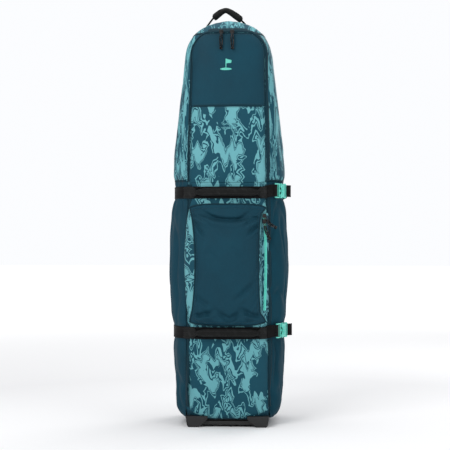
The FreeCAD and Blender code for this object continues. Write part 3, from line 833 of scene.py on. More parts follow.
def crown_and_bottom():
    """The crown's closed cap of printed cloth, and the flat bottom."""
    up, down = range(TOP_ROW, len(SKIN)), range(SEAM_ROW, -1, -1)
    caps = (
        ("crown_cloth", up, 3, (0, 0.006, CROWN), "print_side", "upper_gusset"),
        ("bottom_cloth", down, 18, (0, 0.010, FLOOR_OF_SKIN), "plain", "bottom_panel"),
    )
    for name, rows, steps, tip, material, node in caps:
        rings = [SKIN[r] for r in rows]
        middle, edge = np.array(tip), rings[-1]
        for k in range(1, steps):
            rings.append(middle + (edge - middle) * (1 - k / steps))
        grid = np.array(rings)
        points = np.concatenate([grid.reshape(-1, 3), middle[None]])
        faces = quads(len(grid), COLUMNS, True)
        first = (len(grid) - 1) * COLUMNS
        faces += [(first + c, first + (c + 1) % COLUMNS, len(points) - 1) for c in range(COLUMNS)]
        if name == "bottom_cloth":
            faces = outside_wells(points, faces)
        cap = clean(make(name, points, faces, material, points[:, :2]))
        turn_out(cap)
        case_trim(thicken(cap, WALL, "lining"), node)


def turn_out(obj):
    """Makes an open shell's faces look away from the middle of the case."""
    mesh = obj.data
    centre = Vector((0, 0.01, 0.6))
    facing = sum((p.center - centre).dot(p.normal) * p.area for p in mesh.polygons)
    if facing < 0:
        mesh.flip_normals()


# ---- paths along the grid's seams


def up_column(column, low, high):
    """A seam up one column of the grid, and its outward vectors."""
    rows = [r for r in range(SEAM_ROW, TOP_ROW + 1) if low <= SKIN[r, column, 2] <= high]
    return SKIN[rows, column], NORMAL[rows, column]


def round_row(row, start, end):
    """A seam round one row of the grid."""
    picked = [c % COLUMNS for c in range(start, end + 1)]
    return SKIN[row, picked], NORMAL[row, picked]


def shifted(path, out, across, lift):
    """A path moved sideways over the cloth and off it."""
    _, sideways, outward = frames(path, out)
    return path + across * sideways + lift * outward


def soften(path, rounds):
    """A path with its corners rounded off, ends kept."""
    for _ in range(rounds):
        path = np.concatenate([path[:1], (path[:-2] + 2 * path[1:-1] + path[2:]) / 4, path[-1:]])
    return path


def front_seam(low, high):
    """The front panel's seam: up the right, across the top if high reaches it, and down the left."""
    right, right_out = up_column(RIGHT_SEAM, low, high)
    left, left_out = up_column(0, low, high)
    if high < SEAM_TOP[1]:
        return [(right, right_out), (left[::-1], left_out[::-1])]
    top, top_out = round_row(TOP_ROW, 0, FRONT_COLS)
    path = np.concatenate([right, top[::-1][1:-1], left[::-1]])
    out = np.concatenate([right_out, top_out[::-1][1:-1], left_out[::-1]])
    path, out = resample(path, out, 0.004)
    return [(soften(path, 4), unit(soften(out, 12)))]


# ================================================================ zippers, seams and trims


STORM_WIDE = (
    (0.0007, -0.0012), (0.0006, 0.0012), (0.0018, 0.0024), (0.0070, 0.0024),
    (0.0118, 0.0010), (0.0120, -0.0016), (0.0040, -0.0022),
)
STORM_SLIM = (
    (0.0008, -0.0012), (0.0009, 0.0008), (0.0020, 0.0014),
    (0.0038, 0.0004), (0.0040, -0.0016), (0.0022, -0.0022),
)
TAPE_LOW = 0.060


def mirrored(section):
    """The same section on the other side of its path."""
    return [(-x, h) for x, h in section][::-1]


def storm_strips():
    """The long zipper: a covering strip and half the coil on each side of the seam, all the way round."""
    runs = [("upper_0", *front_seam(HINGE_Z + 0.003, SEAM_TOP[1] + 1)[0], STORM_WIDE, STORM_SLIM, "flap")]
    right, left = front_seam(TAPE_LOW, HINGE_Z - 0.003)
    runs.append(("lower_0", *right, STORM_WIDE, STORM_SLIM, "case"))
    runs.append(("lower_1", *left, STORM_SLIM, STORM_WIDE, "case"))
    for label, path, out, outer, inner, inner_body in runs:
        slim = smooth(-path[:, 0], 0.02, 0.10) if label == "upper_0" else np.zeros(len(path))
        width = np.stack([1 - 0.58 * slim, np.ones(len(path))], 1)
        threads = (0.0094 * width[:, :1], -0.0066) if outer is STORM_WIDE else (0.0066, -0.0094)
        sides = (
            ("outer", "case", 1, outer, width, threads[0], 0.0016),
            ("inner", inner_body, -1, mirrored(inner), None, threads[1], 0.0012),
        )
        pieces = []
        for end, body, _, section, taper, _, _ in sides:
            strip = sweep(f"storm_{end}_{label}", path, out, section, "trim", taper)
            pieces.append((strip, body, f"{body}_zip_tape"))
        for end, body, way, *_ in sides:
            teeth = coil(f"coil_{label}_{end}", shifted(path, out, 0.0011 * way, -0.0014), out)
            pieces.append((teeth, body, f"{body}_zip_tape"))
        for _, body, way, _, _, across, lift in sides:
            line = shifted(path, out, across, lift)
            thread = stitching(f"strip_stitches_{label}_{way + 1}", line, out, "teal_thread")
            pieces.append((thread, body, None))
        for obj, body, node in pieces:
            if body == "flap":
                on_flap(obj)
            else:
                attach(obj, body)
            if node:
                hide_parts(node)


WELT = [(-0.0036, -0.0016), (0.0036, -0.0016), (0.0032, 0.0006), (0.0, 0.0011), (-0.0032, 0.0006)]


def seam_bindings():
    """Corded piping up both back seams, and the stitched cross seams of the front and sides."""
    for label, column, side in (("right", RIGHT_BACK, 1), ("left", LEFT_BACK, -1)):
        path, out = resample(*up_column(column, 0.090, SEAM_TOP[1]), 0.006)
        case_trim(sweep(f"{label}_back_piping", path, out, round_section(0.0024, 8, 0.0010), "webbing"))
        line = shifted(path, out, 0.0055 * side, 0.0006)
        case_trim(stitching(f"{label}_back_stitches", line, out, "teal_thread"))
    seams = (
        ("hood_seam", row_of(PRINT_Z), 0, FRONT_COLS, "flap"),
        ("right_gusset_seam", row_of(GUSSET_Z), RIGHT_SEAM, RIGHT_BACK, "case"),
        ("left_gusset_seam", row_of(GUSSET_Z), LEFT_BACK, COLUMNS, "case"),
        ("crown_seam", TOP_ROW, RIGHT_SEAM, COLUMNS, "case"),
    )
    for name, row, start, end, body in seams:
        path, out = round_row(row, start, end)
        path, out = resample(path[3:-3], out[3:-3], 0.005)
        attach(sweep(name, path, out, WELT, "trim"), body)
        for side in (-1, 1):
            line = shifted(path, out, side * 0.0058, 0.0007)
            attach(stitching(f"{name}_stitches_{side + 1}", line, out, "teal_thread"), body)


def top_strip():
    """The plain strip above the main zipper, where the crown begins."""
    path, out = resample(*round_row(TOP_ROW + 2, 2, FRONT_COLS - 2), 0.004)
    section = [
        (-0.0075, -0.0010), (-0.0070, 0.0012), (0.0, 0.0019),
        (0.0070, 0.0012), (0.0075, -0.0010), (0.0, -0.0020),
    ]
    case_trim(sweep("crown_strip", path, out, section, "trim"))


# ================================================================ straps, handles and buckles

WEB_HEIGHT, WEB_THICK = 0.036, 0.0021
BUCKLE_ANGLE = math.radians(62.6)
BUCKLE_AT = {"upper": (0.1591, -0.0857), "lower": (0.1626, -0.0870)}
BUCKLE_RISE = 0.006
LEVEL = {  # each strap's height, and the half width and front depth of its loop
    "upper": (UPPER_Z, 0.165, 0.136),
    "lower": (LOWER_Z, 0.168, 0.138),
}
STRAP_BACK, STRAP_LIFT = 0.163, 0.00165
WEB_IN_BUCKLE = -0.0042
TAIL = ((0.0225, -0.0005), (0.034, 0.001), (0.042, 0.0065), (0.050, 0.008), (0.058, 0.004))
WRAP = ((-0.0368, -0.0018), (-0.0352, 0.0014), (-0.0326, 0.0038), (-0.0292, 0.0037), (-0.0275, 0.0014))
GRIP_ROOT, GRIP_BOW, GRIP_HEIGHT, GRIP_OFF = 0.097, 0.015, 0.024, 0.0058
BOX_ROW = 0.0135  # between the stitched rows of a patch or an anchor


def strap_point(x, which, out):
    """A plan point on the front of a strap."""
    _, half, front = LEVEL[which]
    half, front = half + out, front + out
    return (x, -front * (1 - (abs(x) / half) ** ROUND_FRONT) ** (1 / ROUND_FRONT))


def buckle_point(which, along, out):
    """A plan point in a buckle's own frame: along the strap, and out from the case."""
    x, y = BUCKLE_AT[which]
    c, s = math.cos(BUCKLE_ANGLE), math.sin(BUCKLE_ANGLE)
    return (x + along * c + out * s, y + along * s - out * c)


def smooth_curve(points, count):
    """Points along a smooth curve through a few given ones (Catmull-Rom)."""
    points = np.asarray(points, float)
    ends = np.concatenate([[2 * points[0] - points[1]], points, [2 * points[-1] - points[-2]]])
    found = []
    each = max(2, count // (len(points) - 1))
    for k in range(len(points) - 1):
        a, b, c, d = ends[k:k + 4]
        for t in np.linspace(0, 1, each, endpoint=False):
            square, cube = 2 * a - 5 * b + 4 * c - d, 3 * b - a - 3 * c + d
            found.append(0.5 * (2 * b + (c - a) * t + square * t * t + cube * t**3))
    return np.array(found + [points[-1]])


def upright(plan, heights, outside=1):
    """A level path in space, and its outward vectors to the right of its direction, or to the left."""
    plan = np.asarray(plan)
    path = np.column_stack([plan, np.broadcast_to(heights, len(plan))])
    along = unit(np.gradient(path, axis=0))
    out = unit(np.cross(along, np.array([0.0, 0.0, 1.0]))) * outside
    return path, out


def web(name, path, out, height=WEB_HEIGHT, thick=WEB_THICK, pitch=0.004, wave=0.0004, seed=0):
    """Webbing on edge along a level path, very slightly wavy, with both selvedges stitched into relief."""
    path, out = resample(np.asarray(path), np.asarray(out), pitch)
    stray = noise_field(path, (40, 40, 40), 11 + seed)
    path = path + (wave * stray)[:, None] * out
    path[:, 2] += 0.0006 * noise_field(path, (9, 9, 9), 12 + seed)
    half, top, r = height / 2, thick / 2, thick * 0.42
    right = [
        (half - 0.0035, 0.0001 - top), (half - r, -top), (half, r - top), (half, top - r),
        (half - r, top), (half - 0.0030, top + 0.0001), (half - 0.0036, top - 0.0003),
    ]
    left = [(-x, y) for x, y in right[::-1]]
    section = left[-2:] + right + left[:-2]
    return sweep(name, path, out, section, "webbing")


def strap_loop(which):
    """The webbing that runs round the case from the side of the buckle to its front."""
    z, half, front = LEVEL[which]
    steps = 720
    ring = []
    for turn in np.linspace(0, 2 * math.pi, steps + 1):
        c, s = math.cos(turn), math.sin(turn)
        depth, power = (STRAP_BACK, ROUND_BACK) if s > 0 else (front, ROUND_FRONT)
        wide, deep = abs(c) / (half + STRAP_LIFT), abs(s) / (depth + STRAP_LIFT)
        r = (wide**power + deep**power) ** (-1 / power)
        ring.append((r * c, r * s))
    ring = np.array(ring)
    keep = ~((ring[:, 0] > 0.100) & (ring[:, 1] < 0.024))
    first = int(np.argmax(keep))
    return upright(ring[[k % steps for k in range(first, first + steps) if keep[k % steps]]], z)


def straps():
    """Both compression straps, their runs to the buckles, and their loose tails."""
    for which in LEVEL:
        z, half, _ = LEVEL[which]
        node = f"{which}_strap"
        case_trim(web(f"{which}_strap_loop", *strap_loop(which), seed=z), node)
        front = [strap_point(x, which, STRAP_LIFT) for x in (0.0985, 0.104, 0.110, 0.116)]
        front += [buckle_point(which, a, WEB_IN_BUCKLE) for a in (-0.042, -0.032, -0.022, -0.014)]
        front = smooth_curve(front, 60)
        side = [buckle_point(which, a, WEB_IN_BUCKLE) for a in (0.021, 0.030, 0.040)]
        side += [(half + 0.012, -0.022), (half + 0.006, 0.0), (half + STRAP_LIFT, 0.0246)]
        side = smooth_curve(side, 60)
        runs = (
            ("front_run", front, smooth(front[:, 0], 0.104, 0.140), 0.0002),
            ("side_run", side, 1 - smooth(side[:, 1], -0.050, 0.020), 0.0002),
            ("tail", smooth_curve([buckle_point(which, *at) for at in TAIL], 48), 1, 0.0),
        )
        for label, plan, rise, wave in runs:
            path, out = upright(plan, z + rise * BUCKLE_RISE)
            case_trim(web(f"{which}_strap_{label}", path, out, wave=wave), node)
        wrap = smooth_curve([buckle_point(which, *at) for at in WRAP], 24)
        path, out = upright(wrap, z + BUCKLE_RISE)
        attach(web(f"{which}_strap_wrap", path, out, pitch=0.0007, wave=0.0), f"{which}_plug")
        tack = [strap_point(-x, which, 0.0030) for x in np.linspace(0.1315, 0.1345, 4)]
        for edge in (-1, 1):
            path, out = upright(tack, z + edge * 0.012)
            case_trim(stitching(f"{which}_bar_tack_{edge + 1}", path, out, pitch=0.0012))


def grip_bow(x, which):
    """A plan point on the middle of a grab handle."""
    share = max(0.0, 1 - (x / GRIP_ROOT) ** 2) ** 0.6
    return strap_point(x, which, GRIP_OFF + GRIP_BOW * share)


def squared(value, power):
    """A sine or cosine with its curve squared off: its size to a power, its sign kept."""
    return math.copysign(abs(value) ** power, value)


def ring_turns(count):
    """The cosine and sine of even steps round a ring."""
    return [(math.cos(t), math.sin(t)) for t in np.linspace(0, 2 * math.pi, count + 1)[:-1]]


def grab_handle(which):
    """The rolled grip in two halves, its stitches and its sewn patches."""
    z = LEVEL[which][0]
    section = []
    for c, s in ring_turns(24):
        tall = squared(c, 0.75) * GRIP_HEIGHT / 2
        channel = 0.0007 * math.exp(-((abs(tall) - 0.0058) / 0.0009) ** 2)
        section.append((tall, squared(s, 0.8) * 0.0052 - math.copysign(channel, s)))
    for side, label, patch_end in ((-1, "left", 0.1315), (1, "right", 0.118)):
        xs = np.linspace(0.0, GRIP_ROOT + 0.001, 60)
        plan = np.array([grip_bow(side * x, which) for x in xs])
        path, out = upright(plan, z + 0.0022 * (1 - (xs / GRIP_ROOT) ** 2), side)
        fat = 1 - 0.52 * smooth(xs / GRIP_ROOT, 0.80, 0.99)
        tall_share = 1 - 0.42 * smooth(xs / GRIP_ROOT, 0.70, 0.99)
        grip = sweep(f"{which}_grip_{label}", path, out, section, "grip", np.stack([tall_share, fat], 1))
        pieces = [grip]
        sewn = slice(54)
        for row in (-1, 1):
            line = path[sewn] + out[sewn] * 0.0047
            line[:, 2] += row * 0.0058 * tall_share[sewn]
            name = f"{which}_grip_stitches_{label}_{row + 1}"
            pieces.append(stitching(name, line, out[sewn], pitch=0.0042))
        for obj in pieces:
            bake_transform(obj)
        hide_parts(f"{which}_grab_grip")
        patch_of(f"{which}_patch_{label}", side, which, 0.0905, patch_end)


def patch_of(name, side, which, inner, outer):
    """A sewn webbing patch with a pointed inner end, in lighter webbing as a painted highlight, and its box
    stitching.
    """
    xs = np.linspace(inner, outer, 30)
    plan = np.array([strap_point(side * x, which, 0.0042) for x in xs])
    path, out = upright(plan, LEVEL[which][0], side)
    tall = np.clip(0.34 + (xs - inner) / 0.012 * 0.66, 0, 1)
    half, low = 0.0172, -0.0013
    section = [
        (-half, low), (half, low), (half + 0.0002, 0.0), (half - 0.0004, 0.0009),
        (0.0, 0.0011), (-half + 0.0004, 0.0009), (-half - 0.0002, 0.0),
    ]
    made = sweep(name, path, out, section, "patch", np.stack([tall, np.ones(len(xs))], 1))
    case_trim(made, "grab_handle_patches")
    for row in (-1, 0, 1):
        keep = tall > 0.9 if row else tall > 0.3
        line = path[keep] + out[keep] * 0.0011
        line[:, 2] += row * BOX_ROW
        case_trim(stitching(f"{name}_stitches_{row + 1}", line, out[keep], pitch=0.0036))


# ---- buckles: plan shapes drawn in a buckle's own frame, along the strap and up


def buckle_place(which):
    """The matrix from a buckle's frame to the case's."""
    x, y = BUCKLE_AT[which]
    z = LEVEL[which][0] + BUCKLE_RISE
    return Matrix.Translation((x, y, z)) @ Matrix.Rotation(BUCKLE_ANGLE, 4, "Z")


def plate(outline, depth, holes, bevel):
    """A flat moulding: an outline of (along, up) points, from depth[0] to depth[1] across, edges rounded."""
    work = bmesh.new()
    for ring in (outline, *holes):
        front = [work.verts.new((x, depth[0], z)) for x, z in ring]
        for a, b in zip(front, front[1:] + front[:1]):
            work.edges.new((a, b))
    bmesh.ops.triangle_fill(work, edges=list(work.edges), use_beauty=True)
    made = bmesh.ops.extrude_face_region(work, geom=list(work.faces))
    moved = [g for g in made["geom"] if isinstance(g, bmesh.types.BMVert)]
    bmesh.ops.translate(work, verts=moved, vec=(0, depth[1] - depth[0], 0))
    bmesh.ops.recalc_face_normals(work, faces=list(work.faces))
    bmesh.ops.dissolve_limit(work, angle_limit=0.01, verts=list(work.verts), edges=list(work.edges))
    sharp = [e for e in work.edges if e.is_manifold and e.calc_face_angle(0) > 0.5]
    rounding = {"segments": 2, "profile": 0.6, "affect": "EDGES", "clamp_overlap": True}
    bmesh.ops.bevel(work, geom=sharp, offset=bevel, **rounding)
    return work


def finish_moulding(name, work, which, material, body, node):
    """Turns a bmesh in a buckle's frame into a piece on its body."""
    mesh = bpy.data.meshes.new(name)
    bmesh.ops.triangulate(work, faces=[f for f in work.faces if len(f.verts) > 4])
    work.to_mesh(mesh)
    work.free()
    mesh.materials.append(MATERIAL[material])
    mesh.transform(buckle_place(which))
    mesh.polygons.foreach_set("use_smooth", [True] * len(mesh.polygons))
    obj = place_object(name, mesh)
    obj.modifiers.new("shade", "WEIGHTED_NORMAL").keep_sharp = False
    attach(obj, body)
    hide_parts(node)


def rounded(low, high, half, r, count=5):
    """A rectangle with rounded corners, from low to high along the strap and half to each side of it."""
    right, left, top = high - r, low + r, half - r
    return corner_arcs(((right, -top, -90), (right, top, 0), (left, top, 90), (left, -top, 180)), r, count)


SOCKET_FACE = (
    (-0.006, -0.0192), (0.0145, -0.0192), (0.0185, -0.0215), (0.0185, 0.0215), (0.0145, 0.0192),
    (-0.006, 0.0192), (-0.006, 0.0105), (-0.001, 0.006), (-0.001, -0.006), (-0.006, -0.0105),
)
SOCKET_WEB = ((0.0120, -0.0186), (0.0186, -0.0186), (0.0186, 0.0186), (0.0120, 0.0186))
TONGUE = (
    (-0.0085, -0.0042), (0.0070, -0.0034), (0.0092, -0.0018),
    (0.0092, 0.0018), (0.0070, 0.0034), (-0.0085, 0.0042),
)
PRONG = (
    (-0.0082, 0.0118), (-0.0082, 0.0184), (-0.0050, 0.0193), (-0.0010, 0.0206),
    (0.0030, 0.0226), (0.0068, 0.0227), (0.0090, 0.0205), (0.0095, 0.0170),
    (0.0088, 0.0142), (0.0050, 0.0126), (0.0, 0.0118),
)
RIBS = tuple(rounded(x, x + 0.0013, 0.0130, 0.0005, 2) for x in (0.002, 0.005, 0.008))
FRAME_RING = rounded(0.0178, 0.0325, 0.0225, 0.003)
FRAME_HOLE = rounded(0.0218, 0.0285, 0.0188, 0.0012)
PLUG_RING = rounded(-0.0322, -0.0086, 0.0222, 0.0028)
PLUG_HOLE = rounded(-0.0294, -0.0122, 0.0188, 0.001)
# the plug's floor: a plate of darker mint in its window, painted shade of the recess
PLUG_FLOOR = rounded(-0.0258, -0.0120, 0.0192, 0.001)
PLUG_BAR = rounded(-0.0222, -0.0194, 0.0192, 0.001)
BUCKLE_PLATES = (  # piece, outline, depth from and to, holes, bevel and material
    ("socket_front", SOCKET_FACE, (-0.0052, -0.0029), (), 0.0006, "mint"),
    ("socket_back", SOCKET_FACE, (0.0029, 0.0052), (), 0.0006, "mint"),
    ("socket_frame", FRAME_RING, (-0.0026, 0.0026), (FRAME_HOLE,), 0.0009, "mint"),
    ("socket_web", SOCKET_WEB, (-0.0030, 0.0030), (), 0.0005, "mint"),
    *((f"socket_rib_{k}", rib, (-0.0058, -0.0050), (), 0.0002, "mint") for k, rib in enumerate(RIBS)),
    ("plug_frame", PLUG_RING, (-0.0026, 0.0026), (PLUG_HOLE,), 0.0006, "mint"),
    # the plug's floor is darker mint: painted shade in its window
    ("plug_floor", PLUG_FLOOR, (-0.0018, -0.0004), (), 0.0003, "mint_painted_shade"),
    ("plug_bar", PLUG_BAR, (-0.0002, 0.0010), (), 0.0003, "mint"),
    ("plug_tongue", TONGUE, (-0.0021, 0.0021), (), 0.0006, "mint"),
)


def buckle(which):
    """A side-release buckle in mint plastic: a socket, a plug with its bar, its tongue and a darker floor of
    painted shade in its window, two prongs.
    """
    for label, outline, depth, holes, bevel, material in BUCKLE_PLATES:
        part = label.split("_")[0]
        body = "case" if part == "socket" else f"{which}_plug"
        work = plate(outline, depth, holes, bevel)
        finish_moulding(f"{which}_{label}", work, which, material, body, f"{which}_buckle_{part}")
    for side, label, letter in ((1, "top", "a"), (-1, "bottom", "b")):
        work = plate([(x, side * z) for x, z in PRONG], (-0.0022, 0.0022), (), 0.0006)
        body, node = f"{which}_prong_{letter}", f"{which}_buckle_prong_{label}"
        finish_moulding(f"{which}_prong_{label}_arm", work, which, "mint", body, node)


# ================================================================ haul handle


HAUL_Y = 0.012  # the upright plane of the haul handle
HAUL_GRIP = (
    (-0.049, 1.2500), (-0.038, 1.2595), (-0.025, 1.2690), (-0.011, 1.2738),
    (0.003, 1.2680), (0.015, 1.2600), (0.026, 1.2520), (0.037, 1.2432),
)
HAUL_LEGS = (
    ("left", 0.0022, ((-0.084, 1.202), (-0.080, 1.208), (-0.074, 1.219),
                      (-0.063, 1.235), (-0.0505, 1.2510), (-0.044, 1.2565))),
    ("right", 0.0040, ((0.064, 1.204), (0.062, 1.209), (0.057, 1.220),
                       (0.0495, 1.2305), (0.0400, 1.2405), (0.033, 1.2465))),
)
SIDEWAYS = np.array([0.0, 1.0, 0.0])


def haul_line(points, count):
    """A smooth path in the plane of the haul handle, and its outward vectors."""
    line = smooth_curve(points, count)
    path = np.column_stack([line[:, 0], np.full(len(line), HAUL_Y), line[:, 1]])
    return path, unit(np.cross(SIDEWAYS, unit(np.gradient(path, axis=0))))


def haul_handle():
    """The wrapped haul handle on the crown, and the webbing that it is sewn to."""
    path, out = haul_line(HAUL_GRIP, 72)
    out *= np.sign(out[:, 2:3])
    share = np.linspace(0, 1, len(path))
    section = [(squared(c, 0.8) * 0.0135, squared(s, 0.9) * 0.0094) for c, s in ring_turns(28)]
    fat = 1 - 0.24 * hump(share, 0.42, 0.16) + 0.04 * noise_field(path, (60, 60, 60), 21)
    ends = 0.80 + 0.20 * smooth(np.minimum(share, 1 - share), 0.0, 0.05)
    wrap = sweep("haul_wrap", path, out, section, "grip", np.stack([ends, fat * ends], 1))
    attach(wrap, "haul_handle")
    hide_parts("haul_grip")
    lap_line = path + out * 0.0092 * fat[:, None]
    lap = flat_section(0.017, 0.0013, -0.0006)
    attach(sweep("haul_wrap_lap", lap_line[3:-3], out[3:-3], lap, "grip"), "haul_handle")
    for row in (-1, 1):
        edge = lap_line[4:-4] + out[4:-4] * 0.0008
        edge[:, 1] += row * 0.0068
        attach(stitching(f"haul_wrap_stitches_{row + 1}", edge, out[4:-4], pitch=0.0036), "haul_handle")
    for label, thick, points in HAUL_LEGS:
        section = flat_section(0.0262, thick, -thick / 2)
        leg = sweep(f"haul_leg_{label}", *haul_line(points, 40), section, "webbing")
        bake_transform(leg)
        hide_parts("haul_handle_legs")
    for label, x in (("left", -0.074), ("right", 0.058)):
        anchor(label, x)


def anchor(label, x):
    """The webbing end sewn flat on the crown beneath a leg, with its rows of stitches."""
    tops = tree_of(WALL_NODES)
    path = []
    for px in np.linspace(abs(x) - 0.004, abs(x) + 0.020, 14) * math.copysign(1, x):
        hit = tops.ray_cast(Vector((px, HAUL_Y, 1.5)), Vector((0, 0, -1)))[0]
        path.append((px, HAUL_Y, hit.z + 0.0012))
    path = np.array(path)
    out = unit(np.cross(unit(np.gradient(path, axis=0)), SIDEWAYS))
    out *= np.sign(out[:, 2:3])
    case_trim(sweep(f"haul_anchor_{label}", path, out, flat_section(0.034, 0.0022, -0.0012), "webbing"))
    for row in (-1, 0, 1):
        line = (path + out * 0.0011)[1:-1]
        line[:, 1] += row * BOX_ROW
        case_trim(stitching(f"haul_anchor_stitches_{label}_{row + 1}", line, out[1:-1], pitch=0.0036))


# ================================================================ the front pocket

POCKET_Z = (0.308, 0.671)
POCKET_GUSSET_X = -0.1140
POCKET_LEFT, POCKET_RIGHT = -0.1135, 0.1150
POCKET_GRID = (96, 130)  # points across and up
POCKET_EDGE = 0.0045  # how far the pocket's sewn edge stands off the case
ZIP_X, ZIP_Y = 0.112, -0.1349
ZIP_Z = (0.346, 0.645)


BULGE = np.array([
    (0.0, 0.0), (0.05, 0.30), (0.12, 0.52), (0.26, 0.82), (0.45, 1.0),
    (0.62, 0.97), (0.78, 0.78), (0.90, 0.50), (0.965, 0.26), (1.0, 0.0),
])


def bulge(share):
    """How full the pocket is at each share of its height, from its lower seam to its upper."""
    return np.interp(share, BULGE[:, 0], BULGE[:, 1])


def lens(share):
    """A bow from 0 at both ends of the pocket's side to 1 at its middle."""
    return np.sin(np.clip(share, 0, 1) * math.pi) ** 0.75


def beside_zipper(share):
    """1 along the pocket's zipper, 0 at the pocket's two right corners."""
    return smooth(np.minimum(share / 0.105, (1 - share) / 0.075), 0.0, 1.0)


def rounded_bulge(share):
    """The same fullness without corners."""
    spread = np.linspace(-0.035, 0.035, 9)
    return np.mean([bulge(np.clip(share + s, 0, 1)) for s in spread], axis=0)


def pocket_front():
    """The front cloth of the pocket as a grid of points."""
    uu, vv = np.meshgrid(np.linspace(-1, 1, POCKET_GRID[0]), np.linspace(0, 1, POCKET_GRID[1]))
    left = POCKET_LEFT + 0.0185 * lens(vv)
    right = POCKET_RIGHT - 0.0120 * beside_zipper(vv) - 0.0085 * lens(vv)
    x = left + (right - left) * (uu + 1) / 2
    z = POCKET_Z[0] + (POCKET_Z[1] - POCKET_Z[0]) * vv
    z += np.where(vv > 0.5, 1, -1) * -0.010 * np.abs(uu) ** 5 * smooth(np.abs(vv - 0.5), 0.35, 0.5)
    seat = front_depth(x, z)
    full = rounded_bulge(vv)
    edge = POCKET_EDGE + 0.0165 * full
    middle = POCKET_EDGE + 0.0340 * full
    depth = edge + (middle - edge) * (1 - np.abs(uu) ** 2.6)
    return uu, vv, x, z, seat, depth


POCKET_STRETCH = 3.3  # about the pocket's height over its half width
POCKET_CREASES = (  # where each drag starts and ends on the cloth, its width and its depth
    ((-0.98, 0.975), (-0.30, 0.880), 0.075, 0.0062), ((-0.99, 0.930), (-0.52, 0.850), 0.060, 0.0050),
    ((0.98, 0.970), (0.36, 0.870), 0.075, 0.0058), ((0.98, 0.900), (0.50, 0.820), 0.060, 0.0050),
    ((0.97, 0.830), (0.62, 0.740), 0.060, 0.0034), ((-0.97, 0.860), (-0.66, 0.720), 0.060, 0.0034),
    ((0.90, 0.360), (0.20, 0.190), 0.085, 0.0046), ((-0.92, 0.070), (-0.30, 0.125), 0.070, 0.0052),
    ((0.94, 0.060), (0.42, 0.140), 0.070, 0.0050), ((-0.95, 0.240), (-0.45, 0.150), 0.075, 0.0036),
    ((-0.60, 0.620), (-0.20, 0.500), 0.110, 0.0022), ((0.55, 0.560), (0.15, 0.640), 0.100, 0.0020),
)


def crease(uu, vv, start, end, width):
    """A fold from one place on the pocket to another: one along its line, fading at both ends."""
    du, dv = end[0] - start[0], (end[1] - start[1]) * POCKET_STRETCH
    size = math.hypot(du, dv)
    u, v = uu - start[0], (vv - start[1]) * POCKET_STRETCH
    along = (u * du + v * dv) / size**2
    away = (u * dv - v * du) / size
    return np.exp(-((away / width) ** 2)) * smooth(along, -0.15, 0.25) * (1 - smooth(along, 0.55, 1.15))


def pocket_folds(uu, vv, x, z):
    """The folds of the pocket: a sag below its top, drags from its corners, and a tuck at its foot."""
    depth = np.zeros_like(x)
    inside = smooth(1 - np.abs(uu), 0.02, 0.3)
    sag = 0.936 - 0.062 * (1 - uu**2) - 0.02 * uu
    depth -= 0.0140 * hump(vv, sag, 0.017) * inside
    depth += 0.0070 * hump(vv, sag - 0.042, 0.026) * inside
    for start, end, width, size in POCKET_CREASES:
        depth -= 2.1 * size * crease(uu, vv, start, end, width)
        raised = (start[0], start[1] - 0.030), (end[0], end[1] - 0.030)
        depth += 1.4 * size * crease(uu, vv, *raised, width * 1.1)
    tuck = (vv - 0.050) - 0.20 * np.abs(uu - 0.09)
    depth -= 0.0155 * hump(tuck, 0, 0.022) * hump(uu, 0.09, 0.30)
    points = np.stack([x, np.full_like(z, -0.15), z], -1)
    depth += 0.0026 * noise_field(points, (11, 11, 6), 31) + 0.0010 * noise_field(points, (34, 34, 20), 32)
    pin = smooth(np.minimum(1 - np.abs(uu), np.minimum(vv, 1 - vv) * 1.6), 0.0, 0.10)
    return depth * pin


def rim_of(grid):
    """The points round the edge of a grid, in order."""
    return np.concatenate([grid[:, 0], grid[-1, 1:-1], grid[::-1, -1], grid[0, ::-1][1:-1]])


def facing_front(path):
    """Outward vectors for a path whose cloth faces the front."""
    return np.tile([0.0, -1.0, 0.0], (len(path), 1))


def pocket_cloth():
    """The pocket's front, its printed side gussets, its binding and stitches."""
    uu, vv, x, z, seat, depth = pocket_front()
    settle = settled_pocket(np.stack([x, seat - np.maximum(depth, POCKET_EDGE), z], -1))
    settle[..., 1] = np.minimum(settle[..., 1] - pocket_folds(uu, vv, x, z), seat - POCKET_EDGE)
    cloth = np.stack([x, z], -1).reshape(-1, 2)
    front = make("pocket_front", settle.reshape(-1, 3), quads(*x.shape), "plain", cloth)
    case_trim(thicken(front, 0.0024, "lining"), "pocket_shell")
    share = vv[:, 0]
    left_foot = POCKET_GUSSET_X - 0.0155 * lens(share)
    right_foot = POCKET_RIGHT + 0.0008 - 0.0113 * beside_zipper(share)
    steps = np.linspace(0, 1, 9)
    for label, column, foot_x in (("left", 0, left_foot), ("right", -1, right_foot)):
        edge = settle[:, column]
        foot = np.stack([foot_x, front_depth(foot_x, edge[:, 2]) - 0.0008, edge[:, 2]], 1)
        sheet = np.stack([edge + (foot - edge) * across for across in steps], 1)
        sheet[..., 1] -= 0.0035 * np.sin(steps * math.pi) * rounded_bulge(share)[:, None]
        run = np.stack([np.broadcast_to(0.4 + 0.024 * steps, sheet.shape[:2]), sheet[..., 2]], -1)
        name, faces = f"pocket_gusset_{label}", quads(*sheet.shape[:2])
        gusset = make(name, sheet.reshape(-1, 3), faces, "print", run.reshape(-1, 2))
        if label == "left":
            gusset.data.flip_normals()
        case_trim(thicken(gusset, 0.002, "lining"), "pocket_shell")
    border = rim_of(settle)
    border = np.concatenate([border, border[:1]])
    path, out = resample(border, facing_front(border), 0.004)
    binding = sweep("pocket_binding", path, out, round_section(0.0022, 8, -0.0004), "trim", cap=False)
    case_trim(binding, "pocket_shell")
    line = rim_of(settle[4:-4, 3:-3])
    out = facing_front(line)
    case_trim(stitching("pocket_stitches", line + out * 0.0004, out, "teal_thread"))


